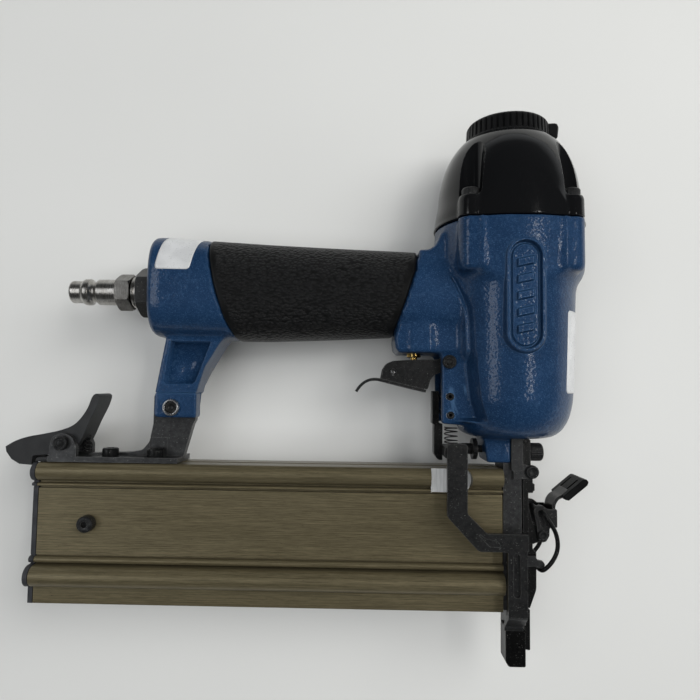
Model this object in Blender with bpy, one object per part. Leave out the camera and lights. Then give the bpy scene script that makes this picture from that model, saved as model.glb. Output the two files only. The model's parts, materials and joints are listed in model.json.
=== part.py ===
"""Pneumatic brad nailer lying on its side.

World frame: metres, +Z up out of the side that faces the viewer, +X from the air inlet to the
nose, +Y from the nose tip to the cylinder cap. Drawing coordinates inside this file are in
millimetres with x = 0, z = 0 on the driver axis and y = 0 at the nose tip.
"""
import math

import bmesh
import bpy
from mathutils import Vector

MM = 0.001

# Driving dimensions (mm)
SHIFT = (93.19, -117.15, 29.7)      # drawing origin to world origin (centre of base outline)
CAP_R = 32.2                      # cylinder head flange radius
HEAD_Z = 29.7                     # half depth of the head, front and back faces slightly crowned
CROWN_R = 58.0                    # radius of those crowned faces
BARREL_R_LOW = 27.0               # cylinder wall radius near the nose
BARREL_R_HIGH = 28.5              # cylinder wall radius below the flange
SEAM_Y = 185.2                    # joint face between casting and cap
CAP_TOP_Y = 224.6
BOLT_X = 20.4
BOLT_Z = 22.0
BORE_R = 19.4                     # liner bore
PISTON_Y = 172.0
DRIVER_STROKE = 64.0
HANDLE_Y = 156.3                  # air inlet axis
HANDLE_END_X = -155.8
TRIGGER_PIN = (-27.7, 126.4)
LATCH_PIN = (12.4, 54.2)
BAIL_PIVOT = (12.2, 63.8)
DOOR_HINGE = (7.6, 80.6)
MAG_LATCH_PIN = (-192.7, 89.8)
MAG_X0 = -202.4                   # extrusion ends
MAG_X1 = -4.3
MAG_Y0 = 22.3
MAG_Y1 = 81.4
GAP = 0.3                         # clearance between neighbouring pieces
WIRE_R = 0.9

COL = bpy.data.collections.new("pneumatic_nail_gun")
CUT = bpy.data.collections.new("cutters")

PALETTE = {
    "paint_blue": ((0.035, 0.085, 0.19), 0.25, 0.3),
    "black_rubber": ((0.02, 0.02, 0.02), 0.0, 0.7),
    "black_plastic": ((0.018, 0.018, 0.02), 0.0, 0.45),
    "black_paint": ((0.012, 0.012, 0.013), 0.1, 0.22),
    "black_steel": ((0.045, 0.045, 0.048), 0.8, 0.45),
    "bright_steel": ((0.55, 0.55, 0.56), 1.0, 0.3),
    "nickel": ((0.5, 0.49, 0.46), 1.0, 0.3),
    "brass": ((0.6, 0.42, 0.16), 1.0, 0.3),
    "bronze_anodised": ((0.17, 0.14, 0.095), 0.85, 0.4),
    "spring_steel": ((0.3, 0.3, 0.31), 1.0, 0.35),
    "aluminium": ((0.55, 0.56, 0.57), 1.0, 0.35),
}


def reset_scene():
    """Remove every object so that the build always starts from nothing."""
    for obj in list(bpy.data.objects):
        bpy.data.objects.remove(obj, do_unlink=True)
    bpy.context.scene.collection.children.link(COL)
    bpy.context.scene.collection.children.link(CUT)
    CUT.hide_render = True


def material(name):
    """Return the named Principled material, made on first use."""
    mat = bpy.data.materials.get(name)
    if mat:
        return mat
    colour, metallic, roughness = PALETTE[name]
    mat = bpy.data.materials.new(name)
    mat.use_nodes = True
    bsdf = mat.node_tree.nodes["Principled BSDF"]
    bsdf.inputs["Base Color"].default_value = (*colour, 1.0)
    bsdf.inputs["Metallic"].default_value = metallic
    bsdf.inputs["Roughness"].default_value = roughness
    mat.diffuse_color = (*colour, 1.0)
    return mat


def world(point):
    """Drawing point (mm) to world point (m)."""
    return Vector(((point[0] + SHIFT[0]) * MM, (point[1] + SHIFT[1]) * MM, (point[2] + SHIFT[2]) * MM))


def solid(name, verts, faces, mat=None, at=(0.0, 0.0, 0.0)):
    """Closed mesh object from drawing vertices, with its origin at the drawing point `at`."""
    mesh = bpy.data.meshes.new(name)
    mesh.from_pydata([(Vector(v) - Vector(at)) * MM for v in verts], [], faces)
    bm = bmesh.new()
    bm.from_mesh(mesh)
    bmesh.ops.recalc_face_normals(bm, faces=bm.faces)
    bm.to_mesh(mesh)
    bm.free()
    obj = bpy.data.objects.new(name, mesh)
    obj.location = world(at)
    if mat:
        mesh.materials.append(material(mat))
        COL.objects.link(obj)
    else:
        CUT.objects.link(obj)
        obj.hide_render = True
        obj.display_type = "WIRE"
    return obj


def place(u, v, w, axis):
    """Map an in-plane point (u, v) and a height w to xyz for an extrusion axis."""
    if axis == "Z":
        return (u, v, w)
    if axis == "X":
        return (w, u, v)
    return (v, w, u)


def prism(name, outline, low, high, mat=None, axis="Z", at=(0.0, 0.0, 0.0), chamfer=0.0):
    """Extrude an outline: XY points for axis Z, YZ points for X, ZX points for Y."""
    n = len(outline)
    rings = [(outline, low), (outline, high)]
    if chamfer:
        small = inset(outline, chamfer)
        rings = [(small, low), (outline, low + chamfer), (outline, high - chamfer), (small, high)]
    verts = [place(u, v, w, axis) for ring, w in rings for u, v in ring]
    faces = [tuple(range(n)), tuple(range((len(rings) - 1) * n, len(rings) * n))]
    for k in range(len(rings) - 1):
        for i in range(n):
            j = (i + 1) % n
            faces.append((k * n + i, k * n + j, (k + 1) * n + j, (k + 1) * n + i))
    return solid(name, verts, faces, mat, at)


def inset(outline, distance):
    """Move every edge of a closed outline inwards by the distance."""
    area = sum(a[0] * b[1] - b[0] * a[1] for a, b in zip(outline, outline[1:] + outline[:1]))
    side = 1.0 if area > 0 else -1.0
    result = []
    n = len(outline)
    for i in range(n):
        a = Vector(outline[i - 1])
        b = Vector(outline[i])
        c = Vector(outline[(i + 1) % n])
        d1 = (b - a).normalized()
        d2 = (c - b).normalized()
        n1 = Vector((-d1.y, d1.x)) * side
        n2 = Vector((-d2.y, d2.x)) * side
        bis = (n1 + n2).normalized()
        step = distance / max(0.35, bis.dot(n1))
        result.append(tuple(b + bis * step))
    return result


def rounded(points, radius, steps=4):
    """Round the corners of a closed outline; radius is one number or one per corner."""
    n = len(points)
    result = []
    for i in range(n):
        r = radius[i] if isinstance(radius, (list, tuple)) else radius
        a = Vector(points[i - 1])
        b = Vector(points[i])
        c = Vector(points[(i + 1) % n])
        d1 = a - b
        d2 = c - b
        if r <= 0.01:
            result.append(tuple(b))
            continue
        half = d1.angle(d2) / 2
        reach = min(r / math.tan(half), 0.45 * d1.length, 0.45 * d2.length)
        r = reach * math.tan(half)
        centre = b + (d1.normalized() + d2.normalized()).normalized() * (r / math.sin(half))
        p = b + d1.normalized() * reach - centre
        q = b + d2.normalized() * reach - centre
        turn = p.angle_signed(q)
        for k in range(steps + 1):
            ang = -turn * k / steps
            result.append((centre.x + p.x * math.cos(ang) - p.y * math.sin(ang),
                           centre.y + p.x * math.sin(ang) + p.y * math.cos(ang)))
    return result


def rect(u0, u1, v0, v1):
    """Rectangle outline."""
    return [(u0, v0), (u1, v0), (u1, v1), (u0, v1)]


def block(name, x0, x1, y0, y1, z0, z1, mat=None, at=(0.0, 0.0, 0.0), chamfer=0.0):
    """Box between two corners."""
    return prism(name, rect(x0, x1, y0, y1), z0, z1, mat, "Z", at, chamfer)


def circle(cu, cv, r, n=24, phase=0.0):
    """Regular polygon outline round a centre."""
    return [(cu + r * math.cos(phase + 2 * math.pi * i / n),
             cv + r * math.sin(phase + 2 * math.pi * i / n)) for i in range(n)]


def lathe(name, profile, centre, axis="Y", mat=None, n=36, at=None, ring=False):
    """Turn a profile of (radius, height) about an axis; `ring` closes the profile on itself."""
    verts = []
    index = []
    for r, h in profile:
        if r < 1e-6:
            index.append([len(verts)])
            verts.append(spin(0.0, 0.0, h, centre, axis))
            continue
        row = []
        for i in range(n):
            ang = 2 * math.pi * i / n
            row.append(len(verts))
            verts.append(spin(r * math.cos(ang), r * math.sin(ang), h, centre, axis))
        index.append(row)
    faces = []
    pairs = list(zip(index, index[1:]))
    if ring:
        pairs.append((index[-1], index[0]))
    for a, b in pairs:
        if len(a) == 1 and len(b) == 1:
            continue
        for i in range(n):
            j = (i + 1) % n
            if len(a) == 1:
                faces.append((a[0], b[i], b[j]))
            elif len(b) == 1:
                faces.append((a[i], a[j], b[0]))
            else:
                faces.append((a[i], a[j], b[j], b[i]))
    return solid(name, verts, faces, mat, at or (0.0, 0.0, 0.0))


def spin(p, q, h, centre, axis):
    """Point of a turned solid: p, q across the axis and h along it."""
    if axis == "Y":
        return (centre[0] + p, h, centre[1] + q)
    if axis == "X":
        return (h, centre[0] + p, centre[1] + q)
    return (centre[0] + p, centre[1] + q, h)


def rod(name, r, low, high, centre, axis="Z", mat=None, n=18, at=None, chamfer=0.0):
    """Round bar with optional end chamfers."""
    prof = [(0, low), (r - chamfer, low)]
    if chamfer:
        prof += [(r, low + chamfer), (r, high - chamfer)]
    prof += [(r - chamfer, high), (0, high)]
    return lathe(name, prof, centre, axis, mat, n, at)


def torus(name, major, minor, centre, height, mat, axis="Y", n=24, m=6, at=None):
    """O-ring."""
    prof = [(major + minor * math.cos(2 * math.pi * i / m), height + minor * math.sin(2 * math.pi * i / m))
            for i in range(m)]
    return lathe(name, prof, centre, axis, mat, n, at, ring=True)


def loft(name, sections, mat=None, n=24):
    """Skin along X through superellipse sections (x, y_low, y_high, half_z, exponent)."""
    verts = []
    for x, y0, y1, hz, e in sections:
        for i in range(n):
            ang = 2 * math.pi * (i + 0.5) / n
            c = math.cos(ang)
            s = math.sin(ang)
            y = (y0 + y1) / 2 + (y1 - y0) / 2 * math.copysign(abs(c) ** (2 / e), c)
            z = hz * math.copysign(abs(s) ** (2 / e), s)
            verts.append((x, y, z))
    faces = [tuple(range(n)), tuple(range((len(sections) - 1) * n, len(sections) * n))]
    for k in range(len(sections) - 1):
        for i in range(n):
            j = (i + 1) % n
            faces.append((k * n + i, k * n + j, (k + 1) * n + j, (k + 1) * n + i))
    return solid(name, verts, faces, mat)


def sweep(name, path, r, mat, n=8, at=(0.0, 0.0, 0.0)):
    """Round wire along a path, with flat closed ends."""
    pts = [Vector(p) for p in path]
    verts = []
    side = None
    for i, p in enumerate(pts):
        t = (pts[min(i + 1, len(pts) - 1)] - pts[max(i - 1, 0)]).normalized()
        if side is None:
            side = t.orthogonal().normalized()
        side = (side - t * side.dot(t)).normalized()
        up = t.cross(side)
        for k in range(n):
            ang = 2 * math.pi * k / n
            verts.append(p + (side * math.cos(ang) + up * math.sin(ang)) * r)
    faces = [tuple(range(n)), tuple(range((len(pts) - 1) * n, len(pts) * n))]
    for k in range(len(pts) - 1):
        for i in range(n):
            j = (i + 1) % n
            faces.append((k * n + i, k * n + j, (k + 1) * n + j, (k + 1) * n + i))
    return solid(name, verts, faces, mat, at)


def coil(name, major, r, low, high, turns, centre, axis, mat, at=(0.0, 0.0, 0.0), per_turn=8,
         sides=5):
    """Compression spring about an axis."""
    count = int(turns * per_turn)
    path = []
    for i in range(count + 1):
        ang = 2 * math.pi * i / per_turn
        h = low + r + (high - low - 2 * r) * i / count
        path.append(spin(major * math.cos(ang), major * math.sin(ang), h, centre, axis))
    return sweep(name, path, r, mat, sides, at)


def boolean(target, tool, operation="DIFFERENCE"):
    """Exact Boolean of a tool solid on the target."""
    mod = target.modifiers.new(tool.name, "BOOLEAN")
    mod.operation = operation
    mod.solver = "EXACT"
    mod.object = tool
    return target


def cut(target, *tools):
    """Take each tool away from the target."""
    for tool in tools:
        boolean(target, tool, "DIFFERENCE")
    return target


def add(target, *tools):
    """Join each tool to the target."""
    for tool in tools:
        boolean(target, tool, "UNION")
    return target


# ---------------------------------------------------------------- casting

HANDLE_SECTIONS = [
    # x, y_low, y_high, half_z, exponent
    (-155.8, 137.6, 178.8, 16.6, 2.9),
    (-154.6, 136.4, 180.0, 18.2, 2.9),
    (-150.0, 135.6, 180.2, 19.0, 2.8),
    (-132.0, 135.0, 179.0, 18.8, 2.6),
    (-105.0, 135.0, 177.6, 18.0, 2.4),
    (-75.0, 136.2, 176.2, 17.6, 2.4),
    (-52.0, 137.4, 175.2, 17.4, 2.5),
    (-38.0, 137.4, 174.4, 17.0, 2.7),
    (-20.0, 137.4, 174.0, 16.6, 2.9),
]
GRIP_THICK = 2.4
GRIP_LEFT = [(-131.2, 181.5), (-130.0, 172.0), (-127.2, 158.0), (-122.6, 143.0), (-118.0, 133.0)]
GRIP_RIGHT = [(-52.6, 133.0), (-49.4, 143.0), (-45.6, 154.0), (-42.2, 165.0), (-40.2, 181.5)]


def handle_loft(name, shrink, mat=None, low=None, high=None):
    """Handle skin made smaller all round by `shrink`."""
    sections = [(x, y0 + shrink, y1 - shrink, hz - shrink, e) for x, y0, y1, hz, e in HANDLE_SECTIONS]
    if low is not None:
        sections[0] = (low, *sections[0][1:])
    if high is not None:
        sections[-1] = (high, *sections[-1][1:])
    return loft(name, sections, mat)


def grip_zone(name, grow):
    """Slanted slab that the rubber sleeve fills along the handle."""
    left = [(x - grow, y) for x, y in GRIP_LEFT]
    right = [(x + grow, y) for x, y in GRIP_RIGHT]
    left = [(left[0][0], 190.0)] + left + [(left[-1][0], 125.0)]
    right = [(right[0][0], 125.0)] + right + [(right[-1][0], 190.0)]
    return prism(name, left + right, -30, 30)


def casting():
    """Main casting: cylinder, flange, handle, neck, trigger bracket, leg and nose foot."""
    outer = [(0, 94.8), (16.0, 94.8), (19.6, 96.0), (22.6, 98.6), (24.9, 102.6), (26.3, 107.5),
             (BARREL_R_LOW, 113.0), (BARREL_R_HIGH - 0.3, 150.0), (BARREL_R_HIGH, 155.0), (29.6, 160.0),
             (31.3, 164.5), (CAP_R, 168.5), (CAP_R, SEAM_Y), (0, SEAM_Y)]
    body = lathe("gun_body", outer, (0, 0), "Y", "paint_blue", 36)
    for i, (sx, sz) in enumerate([(-1, 1), (1, 1), (-1, -1), (1, -1)]):
        prof = [(0, 158.5), (1.6, 159.2), (4.6, 162.6), (5.2, 164.6), (5.2, SEAM_Y), (0, SEAM_Y)]
        add(body, lathe("screw_boss_%d" % i, prof, (sx * BOLT_X, sz * BOLT_Z), "Y", None, 14))
    shell = handle_loft("handle_shell", 0.0)
    cut(shell, grip_zone("grip_relief", 0.15))
    add(body, handle_loft("handle_core", GRIP_THICK + 0.1))
    add(body, shell)
    neck = [(-40.5, 174.2), (-41.6, 165.0), (-45.0, 154.0), (-48.8, 143.0), (-50.4, 138.4), (-50.9, 135.6),
            (-50.2, 131.4), (-48.6, 130.0), (-20.0, 130.0), (-20.0, 182.0), (-31.2, 182.0), (-32.4, 179.0),
            (-33.8, 176.2), (-36.4, 174.4)]
    add(body, prism("neck_block", neck, -14.2, 14.2, chamfer=1.0))
    bracket = rounded([(-30.6, 100.4), (-12.0, 99.2), (-12.0, 150.0), (-33.0, 150.0), (-33.0, 131.0),
                       (-30.8, 129.0)], [0.8, 0, 0, 0, 1, 1], 2)
    add(body, prism("trigger_bracket", bracket, -12.4, 12.4, chamfer=0.5))
    leg = rounded([(-149.8, 140.0), (-150.3, 132.0), (-153.0, 112.4), (-153.4, 101.2), (-135.6, 101.2),
                   (-134.6, 109.0), (-132.8, 120.0), (-129.0, 130.6), (-121.5, 140.0)],
                  [0, 4, 4, 1.4, 1.4, 4, 6, 6, 0], 3)
    add(body, prism("leg", leg, -9.0, 9.0, chamfer=0.6))
    add(body, block("nose_foot", -11.0, -1.5, 84.2, 100.0, -9.0, 9.0))
    crown_trim(body, "flange_trim")
    cut_casting(body)
    return body


def crown_trim(body, name):
    """Flatten the front and back of the round head to two crowned faces."""
    xs = [-24.0 + 4.0 * i for i in range(13)]
    for side in (-1, 1):
        arc = [(side * (HEAD_Z - x * x / (2 * CROWN_R)), x) for x in xs]
        slab = arc + [(side * 40.0, 24.0), (side * 40.0, -24.0)]
        cut(body, prism("%s_%s" % (name, "back" if side < 0 else "front"), slab, 150.0, 230.0, None, "Y"))


def cut_casting(body):
    """Inner spaces and holes of the main casting."""
    chamber = [(0, 80.0), (6.6, 80.0), (6.6, 98.5), (21.7, 98.5), (21.7, 104.0), (23.4, 108.0), (24.7, 150.0), (25.9, 158.0),
               (25.9, SEAM_Y + 2), (0, SEAM_Y + 2)]
    cut(body, lathe("main_chamber", chamber, (0, 0), "Y", None, 36))
    inner = handle_loft("reservoir", 5.2, None, -150.4, -18.0)
    cut(body, inner)
    cut(body, rod("inlet_hole", 8.6, -160.0, -148.0, (HANDLE_Y, 0), "X", n=24))
    for i, (sx, sz) in enumerate([(-1, 1), (1, 1), (-1, -1), (1, -1)]):
        cut(body, rod("screw_hole_%d" % i, 2.3, 166.0, 190.0, (sx * BOLT_X, sz * BOLT_Z), "Y", n=12))
    cut(body, rod("valve_bore", 5.3, 120.0, 143.5, (-41.5, 0), "Y", n=24))
    slot = [(-45.0, 96.0), (-20.8, 96.0), (-20.8, 129.6), (-45.0, 129.6)]
    cut(body, prism("trigger_slot", slot, -9.4, 9.4))
    x, y = TRIGGER_PIN
    cut(body, rod("trigger_pin_hole", 2.1, -20, 20, (x, y), "Z", n=14))
    for i, (px, py) in enumerate([(-27.2, 111.8), (-27.0, 104.0)]):
        cut(body, rod("roll_pin_hole_%d" % i, 1.7, -20, 20, (px, py), "Z", n=14))
    cut(body, rod("leg_bolt_hole", 4.0, -20, 20, (-145.7, 105.8), "Z", n=18))
    cut(body, block("leg_slot", -160.0, -130.0, 95.0, 112.0, -2.4, 2.4))
    for i, side in enumerate((-1, 1)):
        low, high = sorted((side * 8.2, side * 12.0))
        panel = rounded(rect(-149.8, -137.2, 116.6, 131.4), 1.2, 2)
        cut(body, prism("leg_panel_%d" % i, panel, low, high))
    cut(body, rod("nose_screw_tap", 1.9, -20.0, -6.5, (89.0, 0), "X", n=12))


def rubber_grip():
    """Rubber sleeve round the handle."""
    grip = handle_loft("rubber_grip", 0.0, "black_rubber")
    boolean(grip, grip_zone("grip_ends", -0.15), "INTERSECT")
    cut(grip, handle_loft("grip_bore", GRIP_THICK - 0.2, None, -158.0, -10.0))


# ---------------------------------------------------------------- head

def head():
    """Cap, exhaust deflector, screws and head valve parts."""
    prof = [(24.4, SEAM_Y + GAP), (CAP_R, SEAM_Y + GAP), (CAP_R - 0.4, 190.0), (31.0, 196.0), (30.2, 203.0),
            (28.8, 209.5), (26.6, 215.5), (24.0, 220.0), (21.4, 223.0), (19.0, CAP_TOP_Y), (7.4, CAP_TOP_Y),
            (7.4, 210.4), (14.6, 210.4), (14.6, 200.6), (24.4, 200.6)]
    cap = lathe("cylinder_cap", prof, (0, 0), "Y", "black_paint", 36, ring=True)
    crown_trim(cap, "cap_trim")
    corners = [(-1, 1), (1, 1), (-1, -1), (1, -1)]
    for i, (sx, sz) in enumerate(corners):
        centre = (sx * BOLT_X, sz * BOLT_Z)
        foot = [(0, SEAM_Y + GAP), (5.2, SEAM_Y + GAP), (5.2, 194.5), (0, 194.5)]
        add(cap, lathe("cap_foot_%d" % i, foot, centre, "Y", None, 14))
        cut(cap, rod("screw_pocket_%d" % i, 5.4, 193.2, 230.0, centre, "Y", n=18))
    for i, (sx, sz) in enumerate(corners):
        cut(cap, rod("cap_hole_%d" % i, 2.4, 180.0, 200.0, (sx * BOLT_X, sz * BOLT_Z), "Y", n=12))
        screw = lathe("cap_screw_%d" % (i + 1),
                      [(0, 166.6), (1.9, 166.6), (1.9, 193.5), (3.5, 193.5), (3.8, 193.8), (3.8, 197.1),
                       (3.5, 197.4), (0, 197.4)], (sx * BOLT_X, sz * BOLT_Z), "Y", "black_steel", 14)
        socket = circle(sz * BOLT_Z, sx * BOLT_X, 1.9, 6)
        cut(screw, prism("hex_socket_%d" % i, socket, 195.2, 199.0, None, "Y"))
    deflector()
    head_valve()


def deflector():
    """Turning exhaust deflector, open towards one side, with its centre screw."""
    prof = [(0, 229.6), (14.4, 229.6), (14.4, CAP_TOP_Y + GAP), (18.6, CAP_TOP_Y + GAP), (18.6, 225.7),
            (17.1, 226.3), (16.9, 232.3), (15.8, 233.5), (0, 233.5)]
    cover = lathe("exhaust_deflector", prof, (0, 0), "Y", "black_plastic", 36)
    vent = rounded(rect(16.0, 21.4, 225.3, 232.6), 0.8, 2)
    add(cover, prism("vent_tab", vent, -4.2, 4.2))
    cut(cover, block("vent_window", 10.0, 25.0, 226.6, 229.4, -3.2, 3.2))
    cut(cover, rod("deflector_hole", 2.4, 220.0, 240.0, (0, 0), "Y", n=14))
    cut(cover, rod("deflector_sink", 4.2, 231.6, 240.0, (0, 0), "Y", n=18))
    screw = lathe("deflector_screw", [(0, 216.0), (2.0, 216.0), (2.0, 231.9), (3.7, 231.9), (3.7, 233.2),
                                      (3.3, 233.5), (0, 233.5)], (0, 0), "Y", "bright_steel", 18)
    cut(screw, prism("deflector_hex", circle(0, 0, 1.6, 6), 232.2, 236.0, None, "Y"))


def head_valve():
    """Poppet that seals the liner, with its seal, guide ring and spring."""
    prof = [(7.6, 185.8), (23.4, 185.8), (23.4, 190.2), (14.1, 190.2), (14.1, 200.2), (12.7, 200.2),
            (12.7, 203.4), (14.1, 203.4), (14.1, 205.6), (9.6, 205.6), (9.6, 190.2), (7.6, 190.2)]
    lathe("head_valve", prof, (0, 0), "Y", "black_plastic", 30, ring=True)
    prof = [(18.4, 183.3), (22.4, 183.3), (22.4, 185.5), (18.4, 185.5)]
    lathe("head_valve_seal", prof, (0, 0), "Y", "black_rubber", 30, ring=True)
    prof = [(12.9, 200.6), (14.3, 200.6), (14.3, 203.0), (12.9, 203.0)]
    lathe("head_valve_ring", prof, (0, 0), "Y", "black_rubber", 30, ring=True)
    coil("head_valve_spring", 19.0, 0.8, 190.4, 200.3, 4.5, (0, 0), "Y", "spring_steel")


# ---------------------------------------------------------------- drive train

def drive():
    """Liner, piston, driver blade and bumper."""
    prof = [(BORE_R, 98.8), (21.4, 98.8), (21.4, 139.0), (23.6, 140.2), (23.6, 143.4), (21.4, 144.6),
            (21.4, 182.0), (20.6, 183.0), (BORE_R, 183.0)]
    liner = lathe("cylinder_liner", prof, (0, 0), "Y", "aluminium", 36, ring=True)
    for i in range(6):
        ang = math.pi / 6 + i * math.pi / 3
        hole = rod("liner_port_%d" % i, 1.1, 15.0, 26.0, (0, 0), "Z", n=8)
        hole.rotation_euler = (0, ang, 0)
        hole.location = world((0, 116.0, 0))
        cut(liner, hole)
    low = PISTON_Y
    prof = [(0, low), (17.6, low), (19.0, low + 1.4), (19.0, low + 3.2), (16.6, low + 3.2), (16.6, low + 5.8),
            (19.0, low + 5.8), (19.0, low + 9.0), (18.2, low + 9.8), (7.0, low + 9.8), (6.0, low + 7.6),
            (0, low + 7.6)]
    lathe("piston", prof, (0, 0), "Y", "aluminium", 30)
    torus("piston_ring", 17.95, 1.05, (0, 0), low + 4.5, "black_rubber")
    block("driver_blade", -1.5, 1.5, low - 94.0, low - 0.3, -0.8, 0.8, "bright_steel", chamfer=0.1)
    prof = [(3.0, 98.8), (14.0, 98.8), (18.9, 100.6), (18.9, 105.0), (14.0, 107.4), (3.0, 107.4)]
    lathe("bumper", prof, (0, 0), "Y", "black_rubber", 28, ring=True)


# ---------------------------------------------------------------- trigger group

def trigger_group():
    """Trigger, its pin and rocker, trigger valve and bracket roll pins."""
    px, py = TRIGGER_PIN
    plate = [(-56.0, 119.6), (-55.3, 123.2), (-53.8, 125.6), (-51.0, 126.8), (-44.1, 127.3), (-31.6, 127.6),
             (-27.7, 129.3), (-25.2, 128.2), (-24.5, 126.0), (-25.4, 123.8), (-27.6, 122.9), (-31.0, 121.8),
             (-33.0, 121.2), (-34.9, 119.0), (-35.8, 115.6), (-36.4, 113.9), (-37.6, 113.8), (-55.7, 117.9)]
    trig = prism("trigger", plate, -7.4, 7.4, "black_steel", at=(px, py, 0))
    inner = block("trigger_inside", -54.4, -15.0, 118.8, 135.0, -5.6, 5.6)
    cut(trig, inner)
    lip = rounded([(-66.7, 113.5), (-64.5, 116.8), (-62.1, 119.0), (-59.5, 119.9), (-55.0, 119.4), (-36.6, 114.6),
                   (-37.2, 113.2), (-55.7, 117.3), (-59.9, 117.6), (-62.8, 116.2), (-65.7, 112.9)], 0.5, 2)
    add(trig, prism("finger_lip", lip, -7.4, 7.4))
    cut(trig, rod("trigger_pivot_hole", 2.3, -20, 20, (px, py), "Z", n=14))
    cut(trig, rod("rocker_pivot_hole", 1.3, -20, 20, (-50.9, 121.9), "Z", n=12))
    pin = lathe("trigger_pin", [(0, -14.6), (2.7, -14.6), (2.9, -14.3), (2.9, -12.8), (1.8, -12.7), (1.8, 12.7),
                                (2.9, 12.8), (2.9, 14.3), (2.7, 14.6), (0, 14.6)], (px, py), "Z",
                "black_steel", 18)
    cut(pin, rod("pin_recess", 1.4, 14.0, 16.0, (px, py), "Z", n=14))
    rocker = rounded([(-52.6, 121.9), (-51.6, 120.3), (-50.0, 120.2), (-44.5, 122.6), (-32.2, 122.0),
                      (-32.2, 123.6), (-43.0, 125.0), (-50.0, 123.6), (-51.6, 123.4)], 0.4, 2)
    arm = prism("trigger_rocker", rocker, -3.4, 3.4, "black_steel", at=(-50.9, 121.9, 0))
    cut(arm, rod("rocker_hole", 1.3, -6, 6, (-50.9, 121.9), "Z", n=12))
    rod("rocker_pin", 1.0, -8.0, 8.0, (-50.9, 121.9), "Z", "bright_steel", 12, chamfer=0.2)
    prof = [(2.3, 128.6), (2.9, 128.6), (3.1, 128.9), (3.1, 131.4), (5.0, 131.4), (5.0, 142.6), (1.5, 142.6),
            (1.5, 139.0), (3.6, 139.0), (3.6, 134.0), (2.3, 134.0)]
    lathe("trigger_valve", prof, (-41.5, 0), "Y", "brass", 20, ring=True)
    prof = [(0, 125.6), (1.2, 125.6), (1.5, 126.0), (1.5, 134.3), (2.9, 134.3), (2.9, 135.6), (1.1, 135.6),
            (1.1, 141.0), (0, 141.0)]
    lathe("valve_stem", prof, (-41.5, 0), "Y", "brass", 14)
    coil("valve_spring", 2.1, 0.35, 135.9, 138.8, 2.5, (-41.5, 0), "Y", "spring_steel", per_turn=7)
    for i, (x, y) in enumerate([(-27.2, 111.8), (-27.0, 104.0)]):
        prof = [(0.8, -12.6), (1.4, -12.6), (1.4, 12.6), (0.8, 12.6)]
        lathe("roll_pin_%d" % (i + 1), prof, (x, y), "Z", "black_steel", 14, ring=True)


# ---------------------------------------------------------------- nose

def nose():
    """Driver guide, hinged door with its over-centre latch, and the nose screws."""
    guide = block("driver_guide", -4.0, 4.2, 12.4, 82.4, -7.6, 7.6, "black_steel", chamfer=0.3)
    add(guide, block("guide_flange", -1.1, 4.2, 81.0, 94.4, -9.6, 9.6))
    prof = [(0, 94.0), (6.2, 94.0), (6.2, 98.2), (5.6, 98.6), (0, 98.6)]
    add(guide, lathe("guide_spigot", prof, (0, 0), "Y", None, 20))
    ear = [(-2.0, 41.2), (13.4, 41.2), (13.4, 43.4), (9.6, 43.4), (9.6, 45.8), (-2.0, 45.8)]
    for i, side in enumerate((-1, 1)):
        low, high = sorted((side * 7.0, side * 8.8))
        add(guide, prism("hook_ear_%d" % i, ear, low, high))
        low, high = sorted((side * 7.0, side * 9.4))
        lug = rounded([(0.0, 77.0), (10.4, 77.0), (10.6, 82.6), (6.0, 83.8), (0.0, 83.8)], [0, 1.5, 2, 1, 0], 3)
        add(guide, prism("hinge_lug_%d" % i, lug, low, high))
    cut(guide, block("driver_groove", -1.9, 1.9, 5.0, 100.0, -1.2, 1.2))
    cut(guide, block("door_groove", 1.0, 12.0, 5.0, 77.0, -3.4, 3.4))
    cut(guide, block("nail_window", -10.0, 0.0, 24.0, 77.0, -0.95, 0.95))
    cut(guide, rod("hinge_hole", 1.5, -20, 20, DOOR_HINGE, "Z", n=14))
    cut(guide, rod("nose_screw_hole", 2.2, -4.0, 8.0, (88.0, 0), "X", n=12))
    rod("door_hinge_pin", 1.2, -10.6, 10.6, DOOR_HINGE, "Z", "black_steel", 14, chamfer=0.2)
    front = lathe("nose_screw_front", [(0, 4.5), (3.9, 4.5), (3.9, 12.6), (3.3, 13.3), (0, 13.3)], (88.0, 0), "X",
                  "black_steel", 20)
    cut(front, prism("front_hex", circle(88.0, 0, 2.1, 6), 10.0, 15.0, None, "X"))
    rear = lathe("nose_screw_rear", [(0, -20.4), (2.2, -20.4), (2.4, -20.1), (2.4, -15.9), (4.6, -15.9),
                                     (4.6, -13.9), (1.6, -13.9), (1.6, -7.0), (0, -7.0)], (89.0, 0), "X",
                 "black_steel", 20)
    cut(rear, prism("rear_hex", circle(89.0, 0, 1.4, 6), -22.0, -18.6, None, "X"))
    door()


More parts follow.
